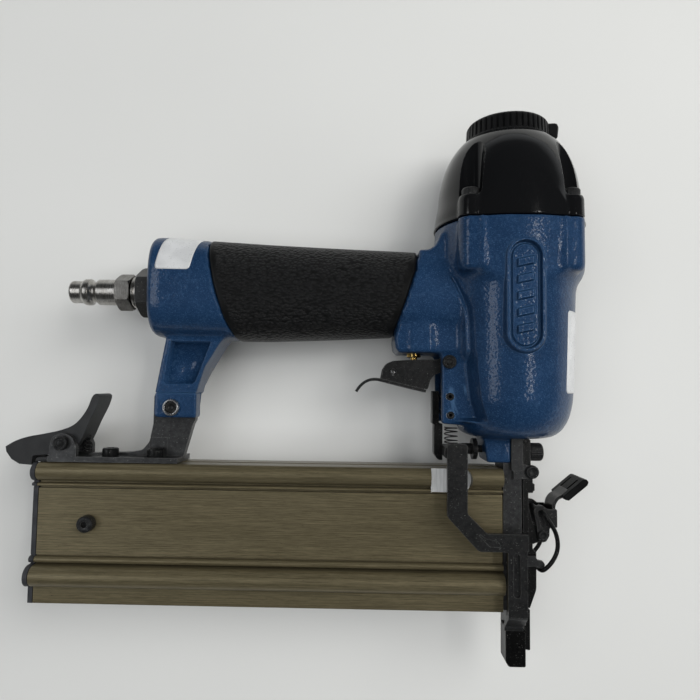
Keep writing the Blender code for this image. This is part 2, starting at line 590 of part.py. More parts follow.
def door():
    """Nose door that swings on the hinge pin, with lever, paddle and wire bail."""
    hinge = (DOOR_HINGE[0], DOOR_HINGE[1], 0)
    leaf = block("nose_door", 4.6, 6.8, 24.0, 76.6, -6.6, 6.6, "black_steel", at=hinge)
    add(leaf, block("door_top", 4.6, 9.6, 71.6, 76.6, -6.6, 6.6))
    add(leaf, block("door_lug", 5.4, 8.8, 74.0, 80.0, -6.6, 6.6))
    add(leaf, rod("door_knuckle", 2.6, -6.6, 6.6, DOOR_HINGE, "Z", n=18))
    add(leaf, block("door_tongue", 1.9, 5.0, 25.0, 76.0, -3.0, 3.0))
    low = [(5.4, 24.2), (7.4, 23.6), (10.2, 31.4), (10.2, 47.2), (8.6, 48.2), (8.6, 50.4), (5.4, 50.4)]
    add(leaf, prism("door_rib", low, -6.6, 6.6))
    x, y = LATCH_PIN
    for i, side in enumerate((-1, 1)):
        a, b = sorted((side * 4.8, side * 6.6))
        lug = rounded([(5.4, 49.0), (13.4, 50.0), (15.4, 53.4), (14.6, 56.6), (11.6, 57.6), (5.4, 60.0)],
                      [0, 1.6, 2, 2, 1, 0], 3)
        add(leaf, prism("latch_lug_%d" % i, lug, a, b))
    cut(leaf, rod("latch_hole", 1.5, -20, 20, (x, y), "Z", n=14))
    cut(leaf, rod("door_pin_hole", 1.5, -20, 20, DOOR_HINGE, "Z", n=14))
    rod("latch_pin", 1.2, -7.6, 7.6, (x, y), "Z", "black_steel", 14, chamfer=0.2)
    body = rounded([(9.4, 65.4), (9.2, 52.8), (11.6, 51.2), (15.6, 51.4), (17.4, 54.4), (18.2, 60.0),
                    (20.6, 66.2), (20.9, 69.4), (18.0, 71.6), (15.2, 68.8), (12.6, 66.4)],
                   [1.5, 2, 1, 2, 2, 2, 1, 1, 1, 2, 1], 3)
    lever = prism("latch_lever", body, -4.4, 4.4, "black_steel", at=(x, y, 0), chamfer=0.3)
    cut(lever, rod("lever_hole", 1.5, -6, 6, (x, y), "Z", n=14))
    cut(lever, rod("bail_hole", WIRE_R + 0.35, -6, 6, BAIL_PIVOT, "Z", n=12))
    paddle = rounded([(18.2, 72.2), (21.3, 69.9), (22.9, 68.4), (24.9, 68.9), (31.9, 74.8), (32.3, 76.2),
                      (30.9, 78.0), (25.1, 78.1)], 0.8, 3)
    prism("latch_paddle", paddle, -8.0, 8.0, "black_rubber", at=(x, y, 0), chamfer=0.4)
    bail(x, y)


def bail(x, y):
    """Closed wire loop from the lever down to the hook ears."""
    bx, by = BAIL_PIVOT
    side = [(bx, by), (15.3, 58.6), (17.6, 54.6), (18.2, 50.8), (17.4, 46.6), (15.0, 42.6), (11.8, 39.9)]
    half = 10.6
    path = [(bx, by, 0.5), (bx, by, 3.0), (bx, by, 6.0), (bx, by, half - 1.6)]
    path += [(side[0][0] + 0.5, side[0][1] - 0.5, half - 0.2)]
    path += [(px, py, half) for px, py in side[1:-1]]
    path += [(12.6, 40.4, half - 0.3), (11.4, 39.8, half - 1.6), (11.2, 39.7, 5.0), (11.2, 39.7, 0.0)]
    path += [(p[0], p[1], -p[2]) for p in reversed(path[:-1])]
    sweep("latch_bail", path, WIRE_R, "black_steel", 10, at=(bx, by, 0))


# ---------------------------------------------------------------- contact arm

def contact_arm():
    """Safety arm on the near side, with shoe, link plate and return spring."""
    outline = [(-28.9, 92.6), (-28.9, 63.0), (-16.0, 49.2), (-3.8, 49.2), (-3.8, 25.2), (-4.4, 24.6),
               (-4.4, 20.0), (3.6, 20.0), (3.6, 49.2), (4.2, 49.8), (4.2, 56.4), (-12.6, 56.4), (-20.6, 64.2),
               (-20.6, 92.6)]
    outline = rounded(outline, [0.8, 3, 3, 1, 1, 0.3, 0.3, 0.3, 0.3, 0.3, 0.6, 1, 2, 0.8], 2)
    arm = prism("contact_arm", outline, 14.4, 16.6, "black_steel")
    bead = rounded(rect(-2.3, 1.7, 28.6, 47.4), 1.6, 3)
    cut(arm, prism("arm_bead", bead, 16.0, 18.0))
    seat = rounded(rect(-29.6, -21.2, 86.4, 90.8), 0.6, 2)
    add(arm, prism("spring_seat", seat, -2.0, 15.0))
    shoe = rounded([(-5.0, 15.9), (-5.0, 6.2), (-2.4, 0.8), (4.6, 0.8), (4.6, 15.9)], 0.8, 2)
    tip = prism("contact_tip", shoe, -9.0, 14.1, "black_steel")
    add(tip, block("tip_riser", -3.9, 3.4, 14.0, 27.0, 9.2, 14.1))
    cut(tip, block("tip_cavity", -12.0, 12.0, 5.2, 30.0, -7.9, 8.5))
    cut(tip, block("tip_driver_slot", -1.9, 1.9, -5.0, 10.0, -1.3, 1.3))
    link = rounded([(-32.2, 85.0), (-31.2, 83.6), (-29.9, 83.6), (-29.9, 99.8), (-30.6, 99.8), (-30.6, 114.0),
                    (-33.4, 114.0), (-33.4, 99.8), (-32.2, 99.6)], 0.4, 2)
    prism("safety_link", link, -3.0, 3.0, "black_steel")
    coil("contact_spring", 2.7, 0.45, 91.4, 98.8, 3.5, (-25.6, 4.0), "Y", "spring_steel")


# ---------------------------------------------------------------- magazine

def magazine():
    """Fixed near rail, sliding far rail, end plate, pusher and fixings."""
    near = [(MAG_Y0, 1.0), (MAG_Y0, 8.0), (MAG_Y0 + 0.6, 8.6), (29.6, 8.6), (30.4, 9.4), (31.0, 11.4), (32.4, 13.0),
            (34.6, 13.6), (36.8, 13.0), (38.0, 11.4), (38.4, 9.4), (39.4, 8.0), (40.4, 8.8), (41.4, 8.0),
            (42.0, 7.6), (70.2, 7.6), (70.9, 8.0), (72.0, 9.2), (73.2, 8.6), (74.0, 9.6), (75.0, 10.6),
            (77.6, 11.2), (80.2, 10.6), (MAG_Y1, 9.4), (MAG_Y1, 1.0)]
    fixed = prism("magazine_fixed", near, MAG_X0, MAG_X1, "bronze_anodised", "X")
    cut(fixed, block("nail_channel_near", -210, 0, 24.6, 78.6, -5.0, 2.2))
    cut(fixed, block("arm_notch", -34.6, -17.6, 71.2, 95.0, 7.4, 20.0))
    far = [(y, -z) for y, z in near]
    slide = prism("magazine_slide", far, MAG_X0, MAG_X1, "bronze_anodised", "X")
    cut(slide, block("nail_channel_far", -210, 0, 24.6, 78.6, -2.2, 5.0))
    side = [(y, z) for y, z in near[1:-1] if y < 79.0] + [(79.2, 11.0), (81.2, 9.6), (81.2, 6.8), (79.4, 6.6)]
    outline = [(y, z) for y, z in side] + [(y, -z) for y, z in reversed(side)]
    prism("magazine_end_plate", outline, -205.9, MAG_X0 - GAP, "black_plastic", "X")
    block("pusher", -58.0, -40.0, 25.2, 78.0, -1.8, 1.8, "black_steel", chamfer=0.2)
    coil("pusher_spring", 1.3, 0.3, -198.0, -58.5, 16, (50.0, 0), "X", "spring_steel", per_turn=6, sides=4)
    screw = lathe("magazine_screw", [(0, 7.9), (3.3, 7.9), (3.5, 8.2), (3.5, 11.6), (3.1, 12.0), (0, 12.0)],
                  (-180.4, 56.0), "Z", "black_steel", 20)
    cut(screw, prism("magazine_hex", circle(-180.4, 56.0, 1.4, 6), 10.4, 14.0))


def magazine_support():
    """Bracket under the handle leg, its screws and the rear magazine latch."""
    web = rounded([(-155.9, 110.8), (-155.9, 98.0), (-157.4, 90.0), (-160.4, 86.4), (-166.0, 85.4),
                   (-184.0, 84.8), (-184.0, 82.6), (-142.6, 82.6), (-138.4, 98.0), (-137.4, 100.0),
                   (-137.4, 110.8)], [1, 3, 4, 3, 2, 1, 0, 0, 4, 1, 1], 3)
    bracket = prism("magazine_bracket", web, -2.0, 2.0, "black_steel")
    add(bracket, block("bracket_base", -198.6, -142.6, 81.7, 84.0, -9.0, 9.0))
    for i, side in enumerate((-1, 1)):
        low, high = sorted((side * 6.6, side * 9.0))
        ear = rounded([(-198.0, 82.4), (-186.4, 82.4), (-186.4, 88.0), (-188.4, 92.4), (-192.7, 94.2),
                       (-197.0, 92.2), (-198.0, 88.0)], [0, 0, 2, 3, 4, 3, 2], 3)
        add(bracket, prism("latch_ear_%d" % i, ear, low, high))
    cut(bracket, rod("leg_tie_hole", 4.0, -6, 6, (-145.7, 105.8), "Z", n=18))
    cut(bracket, rod("latch_ear_hole", 1.8, -20, 20, MAG_LATCH_PIN, "Z", n=14))
    for i, x in enumerate((-172.8, -153.3)):
        cut(bracket, block("screw_seat_%d" % i, x - 3.8, x + 3.8, 84.0, 92.0, 1.6, 9.6))
        head_prof = [(0, 84.3), (3.3, 84.3), (3.4, 84.5), (3.4, 87.3), (3.0, 87.7), (0, 87.7)]
        head_screw = lathe("bracket_screw_%d" % (i + 1), head_prof, (x, 5.6), "Y", "black_steel", 18)
        cut(head_screw, prism("bracket_hex_%d" % i, circle(5.6, x, 1.4, 6), 86.0, 90.0, None, "Y"))
    prof = [(0, -10.6), (3.4, -10.6), (3.7, -10.3), (3.7, 10.3), (3.4, 10.6), (2.7, 10.6), (2.7, 9.6), (0, 9.6)]
    lathe("leg_bolt", prof, (-145.7, 105.8), "Z", "bright_steel", 20)
    mag_latch()


def mag_latch():
    """Spring loaded lever that holds the sliding rail at the rear."""
    x, y = MAG_LATCH_PIN
    outline = [(-218.6, 87.6), (-214.1, 90.2), (-208.7, 92.0), (-201.6, 93.4), (-195.3, 94.8), (-189.9, 96.9),
               (-186.3, 100.2), (-183.4, 104.7), (-181.1, 109.2), (-179.4, 110.7), (-176.1, 110.2),
               (-174.8, 108.6), (-175.1, 106.6), (-178.6, 99.4), (-181.2, 93.1), (-184.0, 88.6), (-187.0, 86.2),
               (-196.0, 84.6), (-199.4, 84.4), (-206.0, 84.0), (-206.6, 83.4), (-207.0, 79.8), (-212.3, 80.2),
               (-215.8, 82.2), (-218.2, 85.4)]
    lever = prism("magazine_latch", outline, -6.2, 6.2, "black_plastic", at=(x, y, 0), chamfer=0.5)
    cut(lever, rod("latch_pivot_hole", 1.8, -10, 10, (x, y), "Z", n=14))
    cut(lever, block("slide_clearance", -230.0, -204.0, 70.0, 81.9, -10.0, 0.7))
    cut(lever, block("latch_spring_well", -190.0, -180.0, 80.0, 93.0, -3.2, 3.2))
    prof = [(0, -11.6), (2.9, -11.6), (3.1, -11.3), (3.1, -9.3), (1.5, -9.2), (1.5, 9.2), (3.1, 9.3),
            (3.1, 11.3), (2.9, 11.6), (0, 11.6)]
    pin = lathe("magazine_latch_pin", prof, (x, y), "Z", "black_steel", 18)
    cut(pin, rod("latch_pin_recess", 1.4, 11.0, 13.0, (x, y), "Z", n=14))
    coil("magazine_latch_spring", 1.8, 0.4, 85.2, 92.6, 4, (-185.6, 0), "Y", "spring_steel", per_turn=7)


# ---------------------------------------------------------------- air inlet

def inlet():
    """Hexagonal bushing and quick-connect plug."""
    hexagon = circle(HANDLE_Y, 0, 11.2, 6)
    bush = prism("inlet_bushing", hexagon, -163.4, -156.1, "black_steel", "X", chamfer=0.6)
    add(bush, rod("bushing_thread", 8.2, -157.0, -149.2, (HANDLE_Y, 0), "X", n=24))
    cut(bush, rod("bushing_bore", 6.4, -170.0, -140.0, (HANDLE_Y, 0), "X", n=24))
    prof = [(3.6, -195.0), (4.4, -195.0), (5.0, -194.2), (5.0, -189.4), (5.9, -188.4), (5.9, -186.2),
            (4.5, -185.2), (4.5, -183.8), (5.4, -182.9), (5.75, -182.5), (5.75, -173.6), (6.6, -173.6),
            (6.6, -163.7), (6.1, -163.7), (6.1, -152.0), (3.6, -152.0)]
    plug = lathe("air_plug", prof, (HANDLE_Y, 0), "X", "nickel", 28, ring=True)
    nut = prism("plug_hex", circle(HANDLE_Y, 0, 8.3, 6, math.pi / 6), -173.5, -167.0, None, "X", chamfer=0.5)
    cut(nut, rod("plug_hex_bore", 4.6, -180.0, -160.0, (HANDLE_Y, 0), "X", n=18))
    add(plug, nut)


reset_scene()
casting()
rubber_grip()
head()
drive()
trigger_group()
nose()
contact_arm()
magazine()
magazine_support()
inlet()
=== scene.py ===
import json
import math

import bmesh
import bpy
import numpy as np
from mathutils import Matrix, Vector
from mathutils.bvhtree import BVHTree

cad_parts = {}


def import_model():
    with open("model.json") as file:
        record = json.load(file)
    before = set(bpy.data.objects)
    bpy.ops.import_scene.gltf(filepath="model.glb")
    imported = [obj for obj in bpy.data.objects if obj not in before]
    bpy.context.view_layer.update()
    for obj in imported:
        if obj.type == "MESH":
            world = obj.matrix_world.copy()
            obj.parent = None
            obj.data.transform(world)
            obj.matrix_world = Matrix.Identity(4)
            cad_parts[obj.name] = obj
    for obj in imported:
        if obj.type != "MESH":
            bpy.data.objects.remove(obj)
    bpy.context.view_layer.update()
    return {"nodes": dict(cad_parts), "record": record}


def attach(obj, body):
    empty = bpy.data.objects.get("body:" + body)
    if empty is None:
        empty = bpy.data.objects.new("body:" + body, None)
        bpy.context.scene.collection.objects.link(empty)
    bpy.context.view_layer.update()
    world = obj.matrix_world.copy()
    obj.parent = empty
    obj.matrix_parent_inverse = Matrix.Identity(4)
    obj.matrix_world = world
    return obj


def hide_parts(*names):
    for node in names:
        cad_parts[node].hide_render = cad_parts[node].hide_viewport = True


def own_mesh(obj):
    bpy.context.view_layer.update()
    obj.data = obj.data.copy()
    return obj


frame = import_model()
NODES = frame["nodes"]

# Drawing frame in millimetres: x = 0, z = 0 on the driver axis, y = 0 at the nose tip.
SHIFT = np.array([93.19, -117.15, 29.7])   # added to a drawing point before scaling to metres
MM = 0.001
TAU = 2 * math.pi
HEAD_Z = 29.7                               # half depth of the head
CROWN_R = 58.0                              # crown radius of the flattened head faces
SEAM_Y = 185.2                              # joint of casting and cap
HANDLE_Y = 156.3                            # axis of the handle and air inlet
CORNERS = [(-1, 1), (1, 1), (-1, -1), (1, -1)]
BOLTS = [(sx * 20.4, sz * 22.0) for sx, sz in CORNERS]
TRIGGER_PIN, HINGE_PIN, LATCH_PIN = (-27.7, 126.4), (7.6, 80.6), (12.4, 54.2)
ROLL_PINS = [(-27.2, 111.8), (-27.0, 104.0)]
LATCH_PIVOT = (-192.7, 89.8)
BOTH = (-1, 1)


# ---------------------------------------------------------------- geometry helpers

def world(p):
    """Drawing point (mm) to world point (m)."""
    return tuple(float((c + s) * MM) for c, s in zip(p, SHIFT))


def link(name, data):
    """New object in the scene."""
    obj = bpy.data.objects.new(name, data)
    bpy.context.scene.collection.objects.link(obj)
    return obj


def shade(obj, smooth=True):
    """Smooth or flat shading on every face."""
    obj.data.polygons.foreach_set("use_smooth", [smooth] * len(obj.data.polygons))
    return obj


def make(name, verts, faces, smooth=True):
    """Closed mesh object from drawing vertices, normals outwards, object at the origin."""
    mesh = bpy.data.meshes.new(name)
    mesh.from_pydata([world(v) for v in verts], [], faces)
    bm = bmesh.new()
    bm.from_mesh(mesh)
    bmesh.ops.recalc_face_normals(bm, faces=bm.faces)
    bm.to_mesh(mesh)
    bm.free()
    return shade(link(name, mesh), smooth)


def loft(name, rings, smooth=True, closed=False):
    """Skin over rings of equal length, with flat ends, or closed into a loop."""
    n, count = len(rings[0]), len(rings)
    faces = [] if closed else [tuple(range(n)), tuple(range((count - 1) * n, count * n))]
    for k in range(count if closed else count - 1):
        a, b = k * n, (k + 1) % count * n
        faces += [(a + i, a + (i + 1) % n, b + (i + 1) % n, b + i) for i in range(n)]
    return make(name, [v for ring in rings for v in ring], faces, smooth)


def place(u, v, w, axis):
    """In-plane point and height to xyz: XY plane for Z, YZ plane for X, ZX plane for Y."""
    if axis == "Z":
        return (u, v, w)
    if axis == "X":
        return (w, u, v)
    return (v, w, u)


def inset(outline, distance):
    """Move every edge of a closed outline inwards."""
    area = sum(a[0] * b[1] - b[0] * a[1] for a, b in zip(outline, outline[1:] + outline[:1]))
    side = 1.0 if area > 0 else -1.0
    result = []
    n = len(outline)
    for i in range(n):
        a, b, c = Vector(outline[i - 1]), Vector(outline[i]), Vector(outline[(i + 1) % n])
        d1, d2 = (b - a).normalized(), (c - b).normalized()
        n1 = Vector((-d1.y, d1.x)) * side
        n2 = Vector((-d2.y, d2.x)) * side
        bis = (n1 + n2).normalized()
        result.append(tuple(b + bis * (distance / max(0.35, bis.dot(n1)))))
    return result


def rounded(points, radius, steps=6):
    """Round the corners of a closed outline; radius is one number or one per corner."""
    n = len(points)
    result = []
    for i in range(n):
        r = radius[i] if isinstance(radius, (list, tuple)) else radius
        a, b, c = Vector(points[i - 1]), Vector(points[i]), Vector(points[(i + 1) % n])
        d1, d2 = a - b, c - b
        if r <= 0.01:
            result.append(tuple(b))
            continue
        half = d1.angle(d2) / 2
        reach = min(r / math.tan(half), 0.45 * d1.length, 0.45 * d2.length)
        r = reach * math.tan(half)
        centre = b + (d1.normalized() + d2.normalized()).normalized() * (r / math.sin(half))
        p = b + d1.normalized() * reach - centre
        q = b + d2.normalized() * reach - centre
        turn = p.angle_signed(q)
        for k in range(steps + 1):
            ang = -turn * k / steps
            result.append((centre.x + p.x * math.cos(ang) - p.y * math.sin(ang),
                           centre.y + p.x * math.sin(ang) + p.y * math.cos(ang)))
    return result


def rect(u0, u1, v0, v1):
    return [(u0, v0), (u1, v0), (u1, v1), (u0, v1)]


def circle(cu, cv, r, n=48, phase=0.0):
    """Closed outline of n points."""
    turns = [phase + TAU * i / n for i in range(n)]
    return [(cu + r * math.cos(ang), cv + r * math.sin(ang)) for ang in turns]


def prism(name, outline, low, high, axis="Z", chamfer=0.0, smooth=False):
    """Extrude an outline between two heights, with optional end chamfers."""
    rings = [(outline, low), (outline, high)]
    if chamfer:
        small = inset(outline, chamfer)
        rings = [(small, low), (outline, low + chamfer), (outline, high - chamfer), (small, high)]
    return loft(name, [[place(u, v, w, axis) for u, v in ring] for ring, w in rings], smooth)


def both_sides(name, outline, inner, outer, chamfer=0.0):
    """Two prisms that mirror each other across the drawing plane."""
    return [prism(name, outline, *sorted((side * inner, side * outer)), chamfer=chamfer) for side in BOTH]


def block(name, x0, x1, y0, y1, z0, z1):
    return prism(name, rect(x0, x1, y0, y1), z0, z1)


def spin(p, q, h, centre, axis):
    """Offset (p, q) from a centre and height h along the axis to xyz."""
    u, v = centre[0] + p, centre[1] + q
    return place(v, u, h, axis) if axis == "Y" else place(u, v, h, axis)


def lathe(name, profile, centre, axis="Y", n=96, ring=False, warp=None):
    """Turn a profile of (radius, height); warp(angle, radius, height) may change the radius."""
    verts, index = [], []
    for r, h in profile:
        if r < 1e-6:
            index.append([len(verts)])
            verts.append(spin(0.0, 0.0, h, centre, axis))
            continue
        row = []
        for i in range(n):
            ang = TAU * i / n
            rr = warp(ang, r, h) if warp else r
            row.append(len(verts))
            verts.append(spin(rr * math.cos(ang), rr * math.sin(ang), h, centre, axis))
        index.append(row)
    faces = []
    pairs = list(zip(index, index[1:]))
    if ring:
        pairs.append((index[-1], index[0]))
    for a, b in pairs:
        if len(a) == 1 and len(b) == 1:
            continue
        for i in range(n):
            j = (i + 1) % n
            if len(a) == 1:
                faces.append((a[0], b[i], b[j]))
            elif len(b) == 1:
                faces.append((a[i], a[j], b[0]))
            else:
                faces.append((a[i], a[j], b[j], b[i]))
    return make(name, verts, faces)


def rod(name, r, low, high, centre, axis="Z", n=48):
    return lathe(name, [(0, low), (r, low), (r, high), (0, high)], centre, axis, n)


def smooth_path(points, steps):
    """Catmull-Rom curve through the points."""
    pts = [Vector(p) for p in points]
    out = []
    for i in range(len(pts) - 1):
        p0, p1, p2, p3 = pts[max(i - 1, 0)], pts[i], pts[i + 1], pts[min(i + 2, len(pts) - 1)]
        for k in range(steps):
            t = k / steps
            out.append(0.5 * ((2 * p1) + (p2 - p0) * t + (2 * p0 - 5 * p1 + 4 * p2 - p3) * t * t
                              + (3 * p1 - p0 - 3 * p2 + p3) * t ** 3))
    out.append(pts[-1])
    return out


def tube(name, points, r, n=20, closed=False):
    """Round wire along a path."""
    pts = [Vector(p) for p in points]
    rings, side, last = [], None, len(pts) - 1
    for i, p in enumerate(pts):
        if closed:
            t = (pts[(i + 1) % len(pts)] - pts[i - 1]).normalized()
        else:
            t = (pts[min(i + 1, last)] - pts[max(i - 1, 0)]).normalized()
        if side is None:
            side = t.orthogonal().normalized()
        side = (side - t * side.dot(t)).normalized()
        up = t.cross(side)
        turns = [TAU * k / n for k in range(n)]
        rings.append([p + (side * math.cos(ang) + up * math.sin(ang)) * r for ang in turns])
    return loft(name, rings, closed=closed)


def evaluated(obj):
    """Replace an object's mesh by the result of its modifiers."""
    bpy.context.view_layer.update()
    deps = bpy.context.evaluated_depsgraph_get()
    mesh = bpy.data.meshes.new_from_object(obj.evaluated_get(deps), depsgraph=deps)
    obj.modifiers.clear()
    old = obj.data
    obj.data = mesh
    bpy.data.meshes.remove(old)
    return obj


def drop(*objs):
    """Delete helper objects with their meshes."""
    for o in objs:
        mesh = o.data
        bpy.data.objects.remove(o, do_unlink=True)
        bpy.data.meshes.remove(mesh)


def boolean(target, *tools, op="DIFFERENCE"):
    """Exact Boolean with each tool, which is then thrown away."""
    for tool in tools:
        mod = target.modifiers.new("b", "BOOLEAN")
        mod.operation = op
        mod.solver = "EXACT"
        mod.object = tool
    evaluated(target)
    drop(*tools)
    return target


def union(target, *tools):
    """Join the tools one after the other."""
    for tool in tools:
        boolean(target, tool, op="UNION")
    return target


def fuse(name, shells, voxel):
    """Union of closed shells on a voxel grid."""
    verts, faces, base = [], [], 0
    for s in shells:
        m = s.data
        verts += [v.co[:] for v in m.vertices]
        faces += [tuple(base + i for i in p.vertices) for p in m.polygons]
        base += len(m.vertices)
    drop(*shells)
    mesh = bpy.data.meshes.new(name)
    mesh.from_pydata(verts, [], faces)
    obj = link(name, mesh)
    mod = obj.modifiers.new("r", "REMESH")
    mod.mode = "VOXEL"
    mod.voxel_size = voxel * MM
    mod.adaptivity = 0.0
    return shade(evaluated(obj))


def read(obj, what="co"):
    """Vertex positions in world metres, or vertex normals, as rows."""
    rows = np.empty(len(obj.data.vertices) * 3)
    obj.data.vertices.foreach_get(what, rows)
    return rows.reshape(-1, 3)


def write(obj, co):
    """Set vertex positions in world metres."""
    obj.data.vertices.foreach_set("co", co.ravel())
    obj.data.update()


def drawn(obj):
    """Vertex positions in drawing millimetres."""
    return read(obj) / MM - SHIFT


def redraw(obj, co):
    """Set vertex positions in drawing millimetres."""
    write(obj, (co + SHIFT) * MM)
    return obj


def neighbours(obj):
    """Function giving each vertex's step to the mean of the vertices around it."""
    n = len(obj.data.vertices)
    edges = np.empty(len(obj.data.edges) * 2, np.int64)
    obj.data.edges.foreach_get("vertices", edges)
    a, b = edges.reshape(-1, 2).T
    count = np.maximum(np.bincount(np.r_[a, b], minlength=n), 1).astype(float)[:, None]

    def step(co):
        total = [np.bincount(a, co[b, i], n) + np.bincount(b, co[a, i], n) for i in range(3)]
        return np.column_stack(total) / count - co
    return step


def relax(obj, rounds, mask=None):
    """Laplacian relaxation with a shrink-back step (Taubin); mask is 0 where the shape stays."""
    co, step = read(obj), neighbours(obj)
    weight = 1.0 if mask is None else mask[:, None]
    for f in (0.5, -0.5 * 0.52) * rounds:
        co = co + step(co) * f * weight
    write(obj, co)


def smoothstep(a, b, x):
    """Smooth ramp from 0 at a to 1 at b."""
    t = np.clip((x - a) / (b - a), 0.0, 1.0)
    return t * t * (3 - 2 * t)


def bell(d, centre, width):
    """Gaussian bump of height 1."""
    return np.exp(-((d - centre) / width) ** 2)


def finish(obj, mat, body, slot, *nodes, edge=None):
    """Give a piece its material, body and edge rounding, and name the CAD nodes it stands for; the slot is not
    used.
    """
    obj.data.materials.clear()
    obj.data.materials.append(mat)
    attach(obj, body)
    if nodes:
        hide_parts(*nodes)
    if edge:
        edge_round(obj, *edge)
    return obj


def edge_round(obj, width, segments=3, angle=28):
    """Rounded edges and clean shading on a hard-surface piece."""
    weld = obj.modifiers.new("weld", "WELD")
    weld.merge_threshold = 2e-6
    bev = obj.modifiers.new("bevel", "BEVEL")
    bev.width = width * MM
    bev.segments = segments
    bev.limit_method = "ANGLE"
    bev.angle_limit = math.radians(angle)
    bev.use_clamp_overlap = True
    bev.miter_outer = "MITER_ARC"
    norm = obj.modifiers.new("normals", "WEIGHTED_NORMAL")
    norm.keep_sharp = False
    norm.weight = 60
    return obj
# ---------------------------------------------------------------- materials

SOCKETS = {"color": "Base Color", "metallic": "Metallic", "rough": "Roughness", "normal": "Normal",
           "coat": "Coat Weight", "coat_rough": "Coat Roughness", "coat_normal": "Coat Normal",
           "spec": "Specular IOR Level", "aniso": "Anisotropic"}


class Shade:
    """Small helper round one Principled material; coordinates are object space in metres."""

    def __init__(self, name):
        self.mat = bpy.data.materials.new(name)
        self.mat.use_nodes = True
        self.tree = self.mat.node_tree
        self.bsdf = self.tree.nodes["Principled BSDF"]
        self.coord = self.tree.nodes.new("ShaderNodeTexCoord").outputs["Object"]

    def feed(self, socket, value):
        """Link an output to a socket, or set the socket's own value."""
        if hasattr(value, "is_output"):
            self.tree.links.new(value, socket)
        elif socket.type == "RGBA":
            socket.default_value = (*value, 1.0)
        else:
            socket.default_value = value

    def node(self, kind, sockets, **settings):
        n = self.tree.nodes.new("ShaderNode" + kind)
        for key, value in settings.items():
            setattr(n, key, value)
        for key, value in sockets.items():
            self.feed(n.inputs[key], value)
        return n

    def mapped(self, scale, vector=None):
        return self.node("Mapping", {"Vector": vector or self.coord, "Scale": scale}).outputs[0]

    def noise(self, scale, detail=2.0, rough=0.5):
        """Noise from 0 to 1; a scale of three numbers stretches it along the axes."""
        vector = self.coord
        if isinstance(scale, tuple):
            vector, scale = self.mapped(scale), 1.0
        return self.node("TexNoise", {"Vector": vector, "Scale": scale, "Detail": detail,
                                      "Roughness": rough}).outputs["Fac"]

    def cells(self, scale, smooth, vector=None):
        """Distance to the nearest of scattered points, smoothed."""
        return self.node("TexVoronoi", {"Vector": vector or self.coord, "Scale": scale, "Smoothness": smooth},
                         feature="SMOOTH_F1").outputs["Distance"]

    def ramp(self, value, *stops):
        n = self.node("ValToRGB", {"Fac": value})
        for element, (at, tone) in zip(n.color_ramp.elements, stops):
            element.position, element.color = at, (tone, tone, tone, 1.0)
        return n.outputs["Color"]

    def span(self, value, a, b, c=0.0, d=1.0):
        """Map the range a..b to c..d."""
        return self.node("MapRange", {"Value": value, "From Min": a, "From Max": b, "To Min": c,
                                      "To Max": d}).outputs["Result"]

    def math(self, op, a, b):
        return self.node("Math", {0: a, 1: b}, operation=op).outputs[0]

    def add(self, *terms):
        """Weighted sum of (field, weight) pairs."""
        total = self.math("MULTIPLY", *terms[0])
        for term in terms[1:]:
            total = self.math("ADD", total, self.math("MULTIPLY", *term))
        return total

    def mix(self, fac, a, b):
        return self.node("Mix", {0: fac, 6: a, 7: b}, data_type="RGBA").outputs[2]

    def bump(self, height, distance, strength=1.0, normal=None):
        n = self.node("Bump", {"Height": height, "Distance": distance, "Strength": strength})
        if normal is not None:
            self.feed(n.inputs["Normal"], normal)
        return n.outputs["Normal"]

    def set(self, **values):
        for key, value in values.items():
            self.feed(self.bsdf.inputs[SOCKETS[key]], value)
        return self.mat

    def edges(self, radius, low, high):
        """0 on faces, 1 on convex or concave edges."""
        bevel = self.node("Bevel", {"Radius": radius}, samples=4).outputs[0]
        normal = self.node("NewGeometry", {}).outputs["Normal"]
        dot = self.node("VectorMath", {0: bevel, 1: normal}, operation="DOT_PRODUCT").outputs["Value"]
        return self.span(self.math("SUBTRACT", 1.0, dot), low, high)


def tint(color, tone):
    return tuple(c * tone for c in color)


def plain(name, grain, cloud, ends, dark, pale, rough, relief, speck=None, tone=1.0, **values):
    """Cloudy colour between two tones; a fine grain drives roughness and bump; pale specks on request."""
    s = Shade(name)
    fine = s.noise(*grain)
    color = s.mix(s.span(s.noise(*cloud), *ends), tint(dark, tone), tint(pale, tone))
    if speck:
        field, low, high, speck_color = speck
        color = s.mix(s.ramp(s.noise(*field), low, high), color, speck_color)
    if isinstance(rough, tuple):
        rough = s.span(fine, 0.3, 0.7, *rough)
    return s.set(color=color, rough=rough, normal=s.bump(fine, *relief), **values)


def paint_blue():
    """Hammered metallic enamel: fine shallow crinkle, small pale flake, clear gloss; painted highlights on
    edges and on crinkle crests.
    """
    s = Shade("paint_blue_hammered")
    fine = s.noise(3000, 1.0, 0.6)
    color = s.mix(s.span(s.noise(60, 3.0, 0.6), 0.35, 0.65), (0.0062, 0.0262, 0.071), (0.0084, 0.0328, 0.086))
    color = s.mix(s.ramp(fine, (0.58, 0.0), (0.72, 0.9)), color, (0.045, 0.105, 0.215))
    # painted highlight: edges are mixed towards a lighter blue
    color = s.mix(s.math("MULTIPLY", s.edges(0.0010, 0.01, 0.16), 0.85), color, (0.050, 0.112, 0.215))
    height = s.add((s.cells(980, 0.9), 0.45), (s.noise(760), 0.6), (s.noise(170), 0.5))
    # painted highlight: the crests of the crinkle are mixed towards a lighter blue
    color = s.mix(s.span(height, 0.78, 0.95, 0.0, 0.42), color, (0.026, 0.066, 0.140))
    crinkle = s.bump(height, 0.00021, 0.8)
    return s.set(color=color, metallic=0.3, rough=s.span(fine, 0.3, 0.7, 0.40, 0.54),
                 normal=s.bump(fine, 0.00003, 0.35, crinkle), coat=0.5, coat_rough=0.07,
                 coat_normal=crinkle, spec=0.26)


